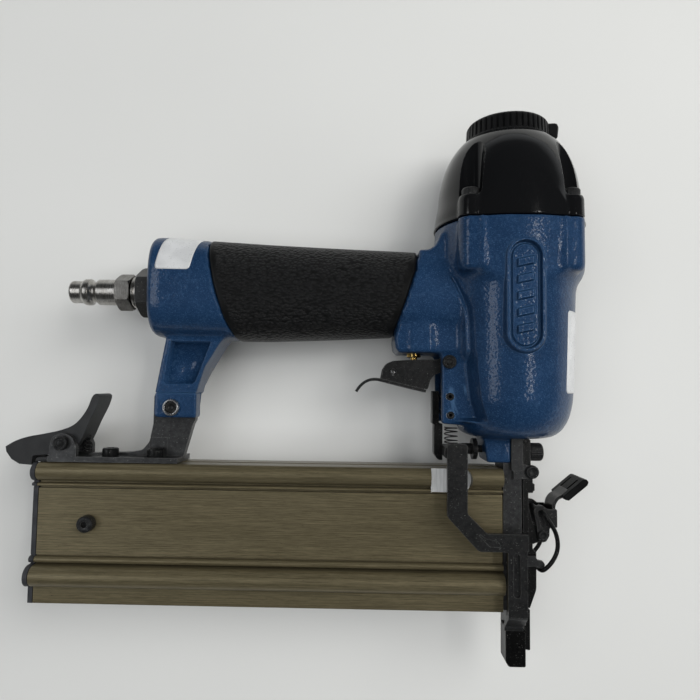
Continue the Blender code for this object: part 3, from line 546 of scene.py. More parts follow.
def paint_black():
    """Smooth gloss black cap enamel with slight orange peel."""
    s = Shade("gloss_black")
    dust = s.ramp(s.noise(9000, 2.0, 0.7), (0.72, 0.0), (0.80, 0.55))
    return s.set(color=s.mix(dust, (0.0045, 0.0047, 0.0052), (0.06, 0.062, 0.066)),
                 rough=s.span(s.noise(90, 3.0), 0.3, 0.7, 0.07, 0.11),
                 normal=s.bump(s.noise(420, 1.5, 0.4), 0.00004, 0.4), coat=0.15, coat_rough=0.03, spec=0.26)


def steel_black(name="phosphated_steel", tone=1.0, scale=1.0):
    """Phosphated and oiled steel: mottled dark grey, tiny pale specks, rubbed edges lightened also as a painted
    edge highlight.
    """
    s = Shade(name)
    mottle = s.noise(700 * scale, 5.0, 0.65)
    color = s.mix(s.span(mottle, 0.3, 0.7), tint((0.0085, 0.0088, 0.0093), tone),
                  tint((0.022, 0.0225, 0.023), tone))
    color = s.mix(s.ramp(s.noise(1500 * scale, 3.0, 0.7), (0.645, 0.0), (0.70, 0.85)), color,
                  (0.26, 0.26, 0.25))
    # edges lightened partly as rubbed wear and partly as painted highlight
    edge_wear_and_highlight = s.span(s.noise(500, 3.0, 0.7), 0.34, 0.60, 0.12, 0.85)
    color = s.mix(s.math("MULTIPLY", s.edges(0.0006, 0.015, 0.2), edge_wear_and_highlight), color, (0.13, 0.13, 0.127))
    return s.set(color=color, metallic=0.55, rough=s.span(s.noise(70, 3.0, 0.55), 0.3, 0.7, 0.27, 0.42),
                 normal=s.bump(mottle, 0.00006, 0.5), spec=0.5)


def bronze():
    """Bronze anodised aluminium, brushed along the extrusion."""
    s = Shade("bronze_anodised_brushed")
    lines = s.add((s.noise((40, 3400, 3400), 4.0, 0.72), 0.55), (s.noise((190, 6200, 6200), 3.0, 0.7), 0.45))
    color = s.mix(s.span(lines, 0.38, 0.62), (0.070, 0.059, 0.033), (0.212, 0.180, 0.107))
    band = s.noise((4, 160, 160))
    color = s.mix(s.span(band, 0.35, 0.65, 0.0, 0.3), color, (0.105, 0.09, 0.053))
    nick = s.ramp(s.noise((500, 2400, 2400), 2.0, 0.7), (0.68, 0.0), (0.76, 0.8))
    return s.set(color=s.mix(nick, color, (0.035, 0.031, 0.025)), metallic=0.55, aniso=0.4,
                 rough=s.span(lines, 0.3, 0.7, 0.32, 0.44), normal=s.bump(lines, 0.00005, 0.7))


def rubber_pebble():
    """Pebbled rubber sleeve: flat domes with narrow valleys, smooth along both slanted ends; dome tops carry
    painted highlight, valleys painted shade.
    """
    s = Shade("pebbled_rubber")
    noisy = s.node("TexNoise", {"Vector": s.coord, "Scale": 260}).outputs["Color"]
    jitter = s.node("VectorMath", {0: noisy, "Scale": 0.0012}, operation="SCALE").outputs[0]
    warped = s.node("VectorMath", {0: s.coord, 1: jitter}, operation="ADD").outputs[0]
    cells = s.cells(1000, 0.3, s.mapped((0.66, 1.0, 1.0), warped))
    mask = s.node("Attribute", {}, attribute_name="pebble").outputs["Fac"]
    dome = s.math("MULTIPLY", s.span(cells, 0.1, 0.75, 1.0, 0.0), mask)
    pore = s.noise(6000, 2.0, 0.6)
    # painted highlight and shade: dome tops lighter, valleys darker
    color = s.mix(s.span(dome, 0.0, 0.9), (0.0022, 0.0023, 0.0024), (0.0090, 0.0092, 0.0096))
    return s.set(color=color, rough=s.span(pore, 0.3, 0.7, 0.40, 0.54),
                 normal=s.bump(pore, 0.00003, 0.4, s.bump(dome, 0.00050)), spec=0.36)


def moulded(name, tone, spec):
    """Moulded black plastic with a fine spark-eroded skin."""
    return plain(name, (3800, 3, 0.65), (140, 3), (0.35, 0.7), (0.0034, 0.0036, 0.0038),
                 (0.0062, 0.0064, 0.0067), (0.36, 0.52), (0.00005, 0.5), tone=tone, spec=spec)


def nickel(name, tone):
    """Satin nickel turned surface with warm stain and circumferential lines."""
    return plain(name, ((9000, 60, 60), 3, 0.6), (260, 4, 0.6), (0.35, 0.7), (0.36, 0.345, 0.32),
                 (0.56, 0.545, 0.52), (0.22, 0.36), (0.00002, 0.6), tone=tone, metallic=1.0)


BLUE, BLACK, BRONZE, GRIP = paint_blue(), paint_black(), bronze(), rubber_pebble()
# the second moulded plastic is the first made lighter: painted sheen on the magazine latch
PLASTIC, PLASTIC_SHEEN = moulded("moulded_black", 1.0, 0.22), moulded("moulded_black_painted_sheen", 3.4, 0.36)
NICKEL, NICKEL_DARK = nickel("satin_nickel", 1.0), nickel("stained_nickel", 0.42)
STEEL = steel_black("phosphated_steel", 1.3)
STEEL_LIGHT = steel_black("mottled_steel", 2.3, 0.8)
STEEL_DARK = steel_black("oiled_black_steel", 0.6, 1.3)
STEEL_DEEP = steel_black("deep_black_steel", 0.3, 1.2)
ZINC = plain("zinc_plate", (2200, 3, 0.6), (400, 3), (0.3, 0.7), (0.55, 0.55, 0.56), (0.72, 0.72, 0.72),
             (0.2, 0.34), (0.00002, 0.5), metallic=1.0)
BRASS = plain("turned_brass", ((200, 9000, 200), 2, 0.6), (500, 3), (0.35, 0.7), (0.55, 0.36, 0.10),
              (0.78, 0.56, 0.22), 0.24, (0.00002, 0.5), metallic=1.0)
RUBBER = plain("soft_black_rubber", (2600, 3, 0.6), (160, 2), (0.35, 0.65), (0.0026, 0.0027, 0.0029),
               (0.0052, 0.0054, 0.0056), (0.4, 0.55), (0.00005, 0.5), spec=0.14)
WIRE = plain("spring_wire", (1500, 3, 0.6), (1500, 3, 0.6), (0.35, 0.65), (0.42, 0.42, 0.43),
             (0.66, 0.66, 0.66), (0.16, 0.3), (0.00001, 0.4), metallic=1.0)
CHARCOAL = plain("charcoal_moulding", (3400, 3, 0.65), (260, 3), (0.35, 0.7), (0.020, 0.021, 0.024),
                 (0.036, 0.037, 0.041), (0.5, 0.66), (0.00005, 0.5),
                 ((2100, 3.0, 0.7), (0.66, 0.0), (0.76, 0.6), (0.13, 0.13, 0.135)), spec=0.4)
ALU = plain("milled_aluminium", ((2600, 90, 90), 3, 0.65), ((2600, 90, 90), 3, 0.65), (0.3, 0.7),
            (0.42, 0.43, 0.43), (0.66, 0.67, 0.67), (0.30, 0.45), (0.00003, 0.6), metallic=0.25)
LABEL = plain("blank_label", (1500, 3, 0.6), (120, 2), (0.35, 0.65), (0.50, 0.51, 0.52),
              (0.60, 0.61, 0.62), (0.26, 0.36), (0.00002, 0.4), metallic=0.15, spec=0.5)
CARD = plain("pale_card", (1800, 3, 0.6), (5, 2), (0.3, 0.7), (0.575, 0.58, 0.57), (0.60, 0.605, 0.595),
             0.75, (0.00003, 0.3), spec=0.25)
BY_SLOT = {"paint_blue": BLUE, "black_rubber": RUBBER, "black_plastic": PLASTIC, "black_paint": BLACK,
           "black_steel": STEEL, "bright_steel": ZINC, "nickel": NICKEL, "brass": BRASS,
           "bronze_anodised": BRONZE, "spring_steel": WIRE, "aluminium": ALU}


# ---------------------------------------------------------------- casting

# Handle sections: x, lowest y, highest y, half depth, superellipse exponent.
HANDLE_SECTIONS = np.array([
    (-155.8, 138.6, 177.8, 15.6, 3.0), (-155.2, 137.0, 179.4, 17.4, 2.9), (-153.8, 136.2, 180.1, 18.5, 2.9),
    (-150.0, 135.6, 180.2, 19.0, 2.8), (-132.0, 135.0, 179.0, 18.8, 2.6), (-105.0, 135.0, 177.6, 18.0, 2.4),
    (-75.0, 136.2, 176.2, 17.6, 2.4), (-52.0, 137.4, 175.2, 17.4, 2.5), (-38.0, 137.4, 174.4, 17.0, 2.7),
    (-20.0, 137.4, 174.0, 16.6, 2.9)])
# Ends of the rubber sleeve: y and x.
GRIP_LEFT = ([133, 143, 158, 172, 181.5], [-118.0, -122.6, -127.2, -130.0, -131.2])
GRIP_RIGHT = ([133, 143, 154, 165, 181.5], [-52.6, -49.4, -45.6, -42.2, -40.2])
GRIP_RECESS = 2.6
LABEL_SINK = 0.25
EMBLEM_X = 0.05
SPLIT_Y = 111.75


def handle_ring(x, shrink, n):
    """Superellipse ring of the handle at x as (y, z) points."""
    y0, y1, hz, e = (float(np.interp(x, HANDLE_SECTIONS[:, 0], HANDLE_SECTIONS[:, k])) for k in (1, 2, 3, 4))
    out = []
    for i in range(n):
        ang = TAU * (i + 0.5) / n
        c, s = math.cos(ang), math.sin(ang)
        out.append(((y0 + y1) / 2 + ((y1 - y0) / 2 - shrink) * math.copysign(abs(c) ** (2 / e), c),
                    (hz - shrink) * math.copysign(abs(s) ** (2 / e), s)))
    return out


def handle_shell():
    """Handle skin, let in where the rubber sleeve sits."""
    rings = []
    for x in [-155.8, -155.5, -155.2, -154.8, -154.3, -153.8] + list(np.arange(-153.0, -19.0, 0.9)):
        ring = []
        for outer, low in zip(handle_ring(x, 0.0, 120), handle_ring(x, GRIP_RECESS, 120)):
            y = outer[0]
            inside = np.interp(y, *GRIP_LEFT) - 0.15 < x < np.interp(y, *GRIP_RIGHT) + 0.15
            ring.append((x, *(low if inside else outer)))
        rings.append(ring)
    return loft("handle_shell", rings)


def clamp_crown(obj, from_y, depth):
    """Flatten the head to crowned faces: depth(y) is the half depth at x = 0."""
    co = drawn(obj)
    for p in co:
        lim = depth(p[1]) - p[0] * p[0] / (2 * CROWN_R)
        if p[1] > from_y and abs(p[2]) > lim and abs(p[0]) < 24.0:
            p[2] = math.copysign(lim, p[2])
    return redraw(obj, co)


def fine_profile(profile, steps=5):
    """Turning profile drawn through smooth curves."""
    return [(max(p[0], 0.0), p[1]) for p in smooth_path([(r, h, 0.0) for r, h in profile], steps)]


def smooth_outline(points, steps):
    """Open line of the drawing plane drawn through smooth curves."""
    return [tuple(p.xy) for p in smooth_path([(u, v, 0) for u, v in points], steps)]


def casting_shells():
    """Closed shells that the casting is fused from."""
    wall = fine_profile([(20.3, 96.4), (22.6, 98.6), (24.9, 102.6), (26.3, 107.5), (27.0, 113.0),
                         (27.7, 132.0), (28.2, 150.0), (28.5, 157.0), (29.2, 160.2), (31.0, 163.0),
                         (32.0, 166.0), (32.2, 169.0)])
    prof = [(0, 94.8), (14.5, 94.8), (16.6, 94.95), (18.6, 95.5)] + wall
    prof += [(32.2, 178.0), (32.2, 185.0), (0, 185.0)]
    shells = [clamp_crown(lathe("barrel", prof, (0, 0), "Y", 180), 157.0,
                          lambda y: HEAD_Z - 0.9 * float(smoothstep(183.0, 160.0, y)))]
    boss = [(0, 162.8), (3.4, 163.0), (4.5, 163.6), (5.1, 164.8), (5.3, 166.4), (5.3, 185.0), (0, 185.0)]
    ridge = [(0, 163.2), (1.4, 163.5), (2.0, 164.6), (2.1, 185.0), (0, 185.0)]
    for centre, (sx, sz) in zip(BOLTS, CORNERS):
        shells.append(lathe("boss", boss, centre, "Y", 40))
        shells.append(lathe("boss_ridge", ridge, (sx * 16.6, sz * 26.1), "Y", 24))
    shells.append(handle_shell())
    neck = [(-40.5, 174.2), (-41.6, 165.0), (-45.0, 154.0), (-48.8, 143.0), (-50.4, 138.4), (-50.9, 135.6),
            (-50.2, 131.4), (-48.6, 130.0), (-20.0, 130.0), (-20.0, 182.0), (-31.2, 182.0), (-32.4, 179.0),
            (-33.8, 176.2), (-36.4, 174.4)]
    shells.append(prism("neck", neck, -13.8, 13.8, chamfer=1.0))
    pad = rounded([(-45.0, 130.2), (-34.4, 130.2), (-34.9, 144.8), (-45.4, 140.4)], 0.6, 3)
    shells += both_sides("valve_pad", pad, 10.0, 14.7, 0.8)
    bracket = rounded([(-30.6, 100.4), (-12.0, 99.2), (-12.0, 150.0), (-33.0, 150.0), (-33.0, 131.0),
                       (-30.8, 129.0)], [1.0, 0, 0, 0, 1, 1], 3)
    shells.append(prism("bracket", bracket, -12.4, 12.4, chamfer=0.5))
    wedge = [(8.0, -18.0), (8.0, -29.0), (12.3, -29.0), (12.5, -26.6), (13.0, -25.0), (14.0, -23.4),
             (15.6, -21.9), (17.6, -20.6), (19.0, -18.0)]
    shells += [prism("bracket_root", [(side * z, x) for z, x in wedge], 101.5, 150.0, "Y") for side in BOTH]
    leg = rounded([(-147.8, 142.0), (-149.5, 134.6), (-153.3, 112.2), (-153.8, 101.2), (-135.3, 101.2),
                   (-135.4, 112.4), (-132.2, 122.8), (-126.0, 133.3), (-119.0, 141.0)],
                  [0, 3, 4, 2.0, 0.4, 3, 6, 6, 0], 4)
    shells.append(prism("leg", leg, -9.0, 9.0, chamfer=0.35))
    foot = rounded([(-10.9, 84.1), (-0.9, 84.1), (-0.9, 100.0), (-13.0, 100.0)], [0.5, 0.5, 0, 0], 3)
    shells.append(prism("nose_foot", foot, -9.0, 9.0, chamfer=0.5))
    return shells


def fill_concave(obj, rounds, mask):
    """Grow cast fillets: only hollow corners are relaxed."""
    co, step = read(obj), neighbours(obj)
    for k in range(rounds):
        if k % 4 == 0:
            write(obj, co)
            nor = read(obj, "normal")
        move = step(co)
        hollow = (move * nor).sum(1) > 0
        co = co + move * 0.5 * (hollow * mask)[:, None]
    write(obj, co)


def refine(obj, cuts, test):
    """Subdivide the faces whose middle passes the test in drawing coordinates."""
    bm = bmesh.new()
    bm.from_mesh(obj.data)
    for _ in range(cuts):
        chosen = [f for f in bm.faces if test(*(c / MM - s for c, s in zip(f.calc_center_median(), SHIFT)))]
        edges = list({e for f in chosen for e in f.edges})
        bmesh.ops.subdivide_edges(bm, edges=edges, cuts=1, use_grid_fill=True)
    bm.to_mesh(obj.data)
    bm.free()
    shade(obj)


def emblem_relief(co):
    """Oval raised ring with a recessed track, a plateau and plain slanted bars, on the cylinder front."""
    x, y, z = co.T
    across = x - EMBLEM_X
    d = np.hypot(across, y - np.clip(y, 137.7, 168.2))
    front = (z > 18.0) & (d < 10.6) & (y > 124.0) & (y < 181.0)
    crest = 29.25 + 0.35 * smoothstep(160.0, 176.0, y)
    bar_height, track = 1.25, crest - 2.1
    level = crest - bar_height
    for cy in (139.6, 146.25, 152.9, 159.55, 166.2):
        bar = np.maximum(np.abs(y - cy - 0.22 * x) - 1.15, 0.0)
        over = np.maximum(np.abs(across) - 2.9, 0.0)
        level = level + bar_height * (1 - smoothstep(0.0, 0.80, np.hypot(bar, over)))
    target = np.where(d < 5.9, level + (track - level) * smoothstep(4.8, 5.55, d),
                      track + (crest - track) * smoothstep(5.8, 6.6, d))
    wall = crest - 5.5 * smoothstep(7.3, 10.0, d)
    target = np.where(d > 7.3, np.maximum(wall, z), target)
    return np.column_stack([x, y, np.where(front, z + (target - z) * smoothstep(10.6, 9.0, d), z)])


def neck_crease(co):
    """Crisp cast edge and valley where the neck web meets the cylinder; the web below is one smooth ramp."""
    x, y, z = co.T
    line = np.interp(y, [100.0, 102.3, 110.3, 124.0, 142.7, 149.0, 153.5, 159.5, 163.7],
                     [-16.2, -16.7, -19.1, -20.7, -21.4, -22.1, -23.8, -26.6, -29.0])
    d = x - line
    outer = np.abs(z) > 9.0
    wall = np.interp(y, [98.6, 102.6, 107.5, 113.0, 132.0], [22.6, 24.9, 26.3, 27.0, 27.7])
    face, edge, reach = 12.45, 13.1, 3.4
    ramp = face + (edge - face) * np.clip((x + 28.0) / (line + 28.0), 0.0, 1.0) ** 1.2
    round_wall = np.sqrt(np.maximum(wall ** 2 - (line + reach) ** 2, 1.0))
    valley = edge - 0.45 * bell(d, 0.7, 0.5) + (round_wall - edge) * np.clip(d / reach, 0.0, 1.0) ** 0.9
    shape = np.where(d < 0, ramp, valley) + 0.28 * bell(d, -0.25, 0.4)
    inside = outer & (x > -28.0) & (d < reach)
    blend = smoothstep(101.2, 103.4, y) * (1 - smoothstep(126.0, 131.5, y)) * smoothstep(reach, 2.9, d)
    z = np.where(inside, z + (np.sign(z) * shape - z) * blend, z)
    fade = smoothstep(124.0, 131.0, y) * (1 - smoothstep(160.0, 165.0, y)) * outer
    groove = 0.25 * bell(d, -0.35, 0.45) - 1.30 * bell(d, 1.1, 0.95)
    return np.column_stack([x, y, z + np.sign(z) * fade * groove])


def casting_skin():
    """Painted casting: fused shells with cast fillets, machined openings, emblem, crease and split line."""
    obj = fuse("casting_skin", casting_shells(), 0.55)
    x, y, _ = drawn(obj).T
    under_sleeve = (y > 130) & (x > np.interp(y, *GRIP_LEFT) - 1.2) & (x < np.interp(y, *GRIP_RIGHT) + 1.2)
    relax(obj, 3)
    fill_concave(obj, 46, 1.0 - under_sleeve)
    relax(obj, 4)
    x, y, z = drawn(obj).T
    step = (np.abs(x) < 19) & (y > 152.0) & (y < 171.0) & (np.abs(z) > 19.0)
    relax(obj, 26, step.astype(float))
    cuts = [prism("slot", [(-45.0, 96.0), (-20.8, 96.0), (-20.8, 129.6), (-45.0, 129.6)], -9.4, 9.4),
            block("leg_slot", -160.0, -130.0, 95.0, 111.6, -2.4, 2.4),
            prism("back_lug_trim", [(-139.4, 95.0), (-138.0, 111.6), (-133.2, 121.5), (-124.0, 133.0),
                                    (-120.0, 130.0), (-128.0, 95.0)], -12.0, -2.3),
            rod("valve_bore", 5.3, 120.0, 143.5, (-41.5, 0), "Y"),
            rod("inlet", 8.4, -160.0, -148.0, (HANDLE_Y, 0), "X")]
    recess = [(-147.0, 134.4), (-149.7, 116.9), (-148.9, 115.6), (-137.0, 115.7), (-135.8, 117.0),
              (-129.6, 134.0)]
    for side in BOTH:
        cuts.append(loft("recess", [[(*p, side * 9.6) for p in recess],
                                    [(*p, side * 3.7) for p in inset(recess, 0.4)]], False))
    cuts += [rod("pin_hole", 1.62, -20, 20, pin, "Z", 32) for pin in ROLL_PINS]
    boolean(obj, *cuts)
    refine(obj, 2, lambda x, y, z: abs(x) < 11.5 and 126.0 < y < 180.0 and z > 18.0)
    refine(obj, 2, lambda x, y, z: x < -133.5 and 110.8 < y < 112.7)
    refine(obj, 1, lambda x, y, z: -31.0 < x < -14.0 and 99.0 < y < 166.0 and abs(z) > 9.0)
    co, normal = neck_crease(emblem_relief(drawn(obj))), read(obj, "normal")
    split = (co[:, 0] < -133.0) * (1 - smoothstep(0.12, 0.42, np.abs(co[:, 1] - SPLIT_Y))) * 0.45
    split = np.where(np.abs(normal[:, 1]) < 0.5, split, 0.0)
    redraw(obj, co - normal * split[:, None])
    return finish(shade(obj), BLUE, "casing", "paint_blue", "gun_body")


def corner_pull(s, t, width, height, radius):
    """Move grid points of a unit square inside a rounded rectangle of the given size."""
    px, py = (s - 0.5) * width, (t - 0.5) * height
    hx, hy = width / 2 - radius, height / 2 - radius
    dx, dy = abs(px) - hx, abs(py) - hy
    if dx > 0 and dy > 0:
        k = max(dx, dy) / math.hypot(dx, dy)
        px = math.copysign(hx + dx * k, px)
        py = math.copysign(hy + dy * k, py)
    return px / width + 0.5, py / height + 0.5


def label(skin, name, rows, cols, size, lift, ray):
    """Blank label laid on the casting: ray(s, t) gives a start point outside it and a direction."""
    tree = BVHTree.FromObject(skin, bpy.context.evaluated_depsgraph_get())
    outer, inner = [], []
    for r in range(rows):
        for c in range(cols):
            origin, direction = ray(*corner_pull(c / (cols - 1), r / (rows - 1), *size))
            hit, normal, _, _ = tree.ray_cast(Vector(world(origin)), Vector(direction).normalized())
            at = hit / MM - Vector(SHIFT)
            outer.append(at + normal * lift)
            inner.append(at - normal * LABEL_SINK)
    n = rows * cols
    faces = []
    for a in [r * cols + c for r in range(rows - 1) for c in range(cols - 1)]:
        faces.append((a, a + 1, a + cols + 1, a + cols))
        faces.append((n + a, n + a + cols, n + a + cols + 1, n + a + 1))
    rim = list(range(cols)) + [r * cols + cols - 1 for r in range(1, rows)]
    rim += [(rows - 1) * cols + c for c in range(cols - 2, -1, -1)] + [r * cols for r in range(rows - 2, 0, -1)]
    faces += [(a, b, n + b, n + a) for a, b in zip(rim, rim[1:] + rim[:1])]
    finish(make(name, outer + inner, faces), LABEL, "casing", "paint_blue")


def labels(skin):
    """Blank foil label on the handle end and blank paper label on the cylinder side."""
    def on_handle(s, t):
        ang = math.radians(18.0 + 72.0 * t)
        dy, dz = math.sin(ang), math.cos(ang)
        return (-152.0 + 14.8 * s + 4.6 * t, 157.5 + 60 * dy, 60 * dz), (0.0, -dy, -dz)

    def on_cylinder(s, t):
        ang = math.radians(44.0 + 56.0 * s)
        dx, dz = math.sin(ang), math.cos(ang)
        return (60 * dx, 113.8 + 34.0 * t, 60 * dz), (-dx, 0.0, -dz)

    label(skin, "handle_label", 31, 25, (15.0, 22.0, 1.5), 0.10, on_handle)
    label(skin, "cylinder_label", 41, 21, (26.0, 34.0, 1.6), 0.12, on_cylinder)


def hole_rims():
    """Bare rings where paint is rubbed off round the two roll pins."""
    section = [(1.58, 12.1), (1.86, 12.1), (1.88, 12.42), (1.78, 12.47), (1.66, 12.44), (1.58, 12.3)]
    for i, pin in enumerate(ROLL_PINS):
        for side, letter in zip(BOTH, "ba"):
            prof = [(r, side * h) for r, h in section]
            ring = lathe("pin_rim_%d_%s" % (i + 1, letter), prof, pin, "Z", 40, True)
            finish(ring, ZINC, "casing", "bright_steel")


def grip_sleeve():
    """Rubber sleeve with rolled ends; pebbling fades out towards both ends."""
    n, middle, margin, skin, roll_r = 160, -85.0, 3.8, 0.15, 1.2
    cache, rings, pebble = {}, [], []

    def section(x, depth, i):
        """Point i of the sleeve section at x, at a depth below its surface."""
        key = round(x, 1)
        if key not in cache:
            cache[key] = (handle_ring(key, -skin, n), handle_ring(key, 2.5, n))
        a, b = cache[key][0][i], cache[key][1][i]
        t = depth / (2.5 + skin)
        return a[0] + (b[0] - a[0]) * t, a[1] + (b[1] - a[1]) * t

    def add(where, value, depth):
        """Ring at a distance from the left or right end, or at a share of the length between them."""
        ring = []
        for i, (y, z) in enumerate(handle_ring(middle, 0.0, n)):
            for _ in range(4):
                left, right = float(np.interp(y, *GRIP_LEFT)), float(np.interp(y, *GRIP_RIGHT))
                x = {"L": left + value, "R": right - value,
                     "M": left + margin + (right - left - 2 * margin) * value}[where]
                y, z = section(x, depth, i)
            ring.append((x, y, z))
            pebble.append(float(smoothstep(1.6, 4.4, min(x - left, right - x))))
        rings.append(ring)

    ends = [0.0, 0.12, 0.3, 0.55, 0.85, 1.2, 1.7, 2.3, 3.0, margin]
    rolls = [roll_r - math.sqrt(max(0.0, roll_r ** 2 - max(roll_r - d, 0.0) ** 2)) for d in ends]
    for d, roll in zip(ends, rolls):
        add("L", d, roll)
    for t in np.linspace(0.0, 1.0, 90)[1:-1]:
        add("M", t, 0.0)
    for d, roll in reversed(list(zip(ends, rolls))):
        add("R", d, roll)
    for where, value, depth in (("R", 0.0, 2.5), ("M", 0.5, GRIP_RECESS), ("L", 0.0, 2.5)):
        add(where, value, depth)
    obj = loft("grip_sleeve", rings, closed=True)
    obj.data.attributes.new("pebble", "FLOAT", "POINT").data.foreach_set("value", pebble)
    finish(obj, GRIP, "casing", "black_rubber", "rubber_grip")


labels(casting_skin())
hole_rims()
grip_sleeve()


# ---------------------------------------------------------------- head

def cap_skin():
    """Gloss cap: domed body with crowned faces, scalloped screw pockets and round feet."""
    base = SEAM_Y + 0.12
    dome = fine_profile([(32.4, base + 1.2), (32.1, 190.0), (31.0, 196.0), (30.2, 203.0), (28.8, 209.5),
                         (26.6, 215.5), (24.0, 220.0), (21.6, 223.0), (20.2, 224.2)], 6)
    prof = [(0, base), (32.6, base), (32.7, base + 0.3), (32.65, base + 1.0)] + dome
    prof += [(19.4, 224.75), (18.6, 225.0), (0, 225.0)]
    body = clamp_crown(lathe("cap_body", prof, (0, 0), "Y", 200), base - 1.0,
                       lambda y: HEAD_Z - 0.02 - 0.0025 * max(y - 196.0, 0.0) ** 1.6)
    foot = [(0, base), (5.3, base), (5.35, base + 0.6), (5.2, 192.6), (4.9, 193.9), (4.2, 194.4), (0, 194.5)]
    cap = fuse("cap_skin", [body] + [lathe("cap_foot", foot, bolt, "Y", 48) for bolt in BOLTS],
               0.42)
    fill_concave(cap, 16, np.ones(len(cap.data.vertices)))
    pocket = [(0, 194.5), (4.6, 194.5), (5.3, 195.2), (5.45, 196.5), (5.4, 215.0), (5.1, 221.0), (4.4, 228.0),
              (0, 228.0)]
    boolean(cap, *[lathe("pocket", pocket, bolt, "Y", 64) for bolt in BOLTS])
    x, y, z = drawn(cap).T
    near = np.zeros(len(x))
    for bx, bz in BOLTS:
        near = np.maximum(near, 1 - smoothstep(6.2, 8.0, np.hypot(x - bx, z - bz)))
    relax(cap, 10, near * (y > 196.5))
    bore = [(0, 180.0), (24.4, 180.0), (24.4, 200.6), (14.6, 200.6), (14.6, 210.4), (7.4, 210.4),
            (7.4, 230.0), (0, 230.0)]
    holes = [rod("cap_hole", 2.4, 180.0, 200.0, bolt, "Y", 32) for bolt in BOLTS]
    boolean(cap, lathe("cap_bore", bore, (0, 0), "Y", 72), *holes)
    finish(cap, BLACK, "casing", "black_paint", "cylinder_cap", edge=(0.05, 1, 60))


def knurl(depth, teeth, inner, low, high):
    """Radius change of a lathe: teeth on the rim outside a radius, between two heights."""
    def warp(ang, r, h):
        return r - (depth * (1 + math.cos(ang * teeth)) / 2 if r > inner and low < h < high else 0.0)
    return warp


def cap_screws():
    """Socket head screws with knurled rims and deep hexagons."""
    prof = [(0, 166.6), (1.5, 166.6), (1.9, 167.0), (1.9, 193.52), (3.45, 193.52), (3.7, 193.7),
            (3.82, 194.0), (3.82, 196.6), (3.72, 197.0), (3.4, 197.36), (3.1, 197.4), (2.45, 197.4),
            (2.2, 197.2), (0, 197.2)]
    for i, (x, z) in enumerate(BOLTS):
        screw = lathe("cap_screw_skin_%d" % (i + 1), prof, (x, z), "Y", 180,
                      warp=knurl(0.10, 30, 3.7, 193.9, 196.8))
        boolean(screw, prism("hex", circle(z, x, 1.95, 6), 194.9, 199.0, "Y"))
        finish(screw, STEEL, "casing", "black_steel", "cap_screw_%d" % (i + 1), edge=(0.08, 2, 40))


def deflector_skin():
    """Exhaust deflector: ribbed rim, shallow dished top, outlet lobe and countersunk screw hole."""
    ribs = 44

    def rim(ang, r, h):
        if r < 16.8:
            return r
        t = (ang * ribs / TAU) % 1.0
        groove = float(smoothstep(0.0, 0.16, t) * (1 - smoothstep(0.30, 0.46, t)))
        fade = float(smoothstep(225.9, 226.6, h) * (1 - smoothstep(231.4, 232.6, h)))
        return r - 0.85 * groove * fade

    side = [(18.45, 225.06), (18.6, 225.3), (18.6, 225.5), (18.35, 225.72), (18.25, 225.9), (18.24, 226.2)]
    side += [(18.22 - 0.25 * t, 226.2 + 5.6 * t) for t in np.linspace(0.1, 1.0, 12)]
    side += [(17.75, 232.3), (17.4, 232.8), (16.9, 233.15), (16.2, 233.35), (15.2, 233.42), (14.2, 233.38)]
    side += [(13.4, 233.1), (12.6, 232.95), (9.0, 232.9), (5.6, 232.95), (4.9, 233.0), (4.4, 232.7),
             (4.15, 231.6), (2.4, 231.5), (2.4, 229.62), (14.4, 229.6), (14.4, 225.06)]
    cover = lathe("deflector_skin", side, (0, 0), "Y", ribs * 14, True, rim)
    vent = rounded([(15.5, 226.3), (20.6, 226.3), (21.6, 227.6), (22.0, 232.2), (21.4, 233.6), (20.2, 234.0),
                    (15.5, 233.6)], [0, 0.8, 0.6, 0.6, 0.6, 0.6, 0], 4)
    union(cover, prism("vent_lobe", vent, -4.4, 4.4, chamfer=0.6))
    boolean(cover, block("vent_window", 13.6, 25.0, 226.5, 229.5, -3.2, 3.2))
    finish(cover, PLASTIC, "deflector", "black_plastic", "exhaust_deflector", edge=(0.10, 2, 35))


cap_skin()
cap_screws()
deflector_skin()


# ---------------------------------------------------------------- magazine

MAG_X0, MAG_X1, MAG_Y0, MAG_Y1 = -202.4, -4.3, 22.3, 81.4


def arc(cy, cz, r, a0, a1, n):
    """Points along an arc, angles in degrees."""
    turns = [math.radians(a0 + (a1 - a0) * i / n) for i in range(n + 1)]
    return [(cy + r * math.cos(a), cz + r * math.sin(a)) for a in turns]


def rail_profile():
    """Half of the extrusion section as (y, z), from the lower strip up to the top bar."""
    side = [(MAG_Y0, 1.0), (MAG_Y0, 8.1), (MAG_Y0 + 0.15, 8.45), (MAG_Y0 + 0.5, 8.6), (29.0, 8.6),
            (29.35, 8.45), (29.5, 8.1)]
    side += arc(34.1, 9.2, 4.4, 188, 0, 26) + [(38.5, 8.2), (38.6, 6.6), (39.1, 6.5)]
    side += arc(40.5, 8.05, 1.35, 176, 20, 10) + [(41.9, 7.6), (41.95, 6.9), (42.45, 6.9), (42.5, 7.6)]
    side += [(70.2, 7.6), (70.45, 7.5), (70.5, 6.2), (71.3, 6.2), (71.35, 8.4), (71.55, 8.95),
             (72.0, 9.15), (72.5, 9.0), (72.75, 8.5), (72.8, 6.3), (73.5, 6.3)]
    side += arc(77.55, 7.2, 4.0, 176, 24, 22) + [(81.3, 8.5), (MAG_Y1, 8.1), (MAG_Y1, 1.0)]
    return side


def mirrored(outline):
    return [(y, -z) for y, z in outline]


def notch_edge(rx, ry, end):
    """Curved right edge of the milled notch."""
    return [(-21.6 + rx * math.cos(a), 76.6 + ry * math.sin(a)) for a in np.linspace(-1.5, end, 14)]


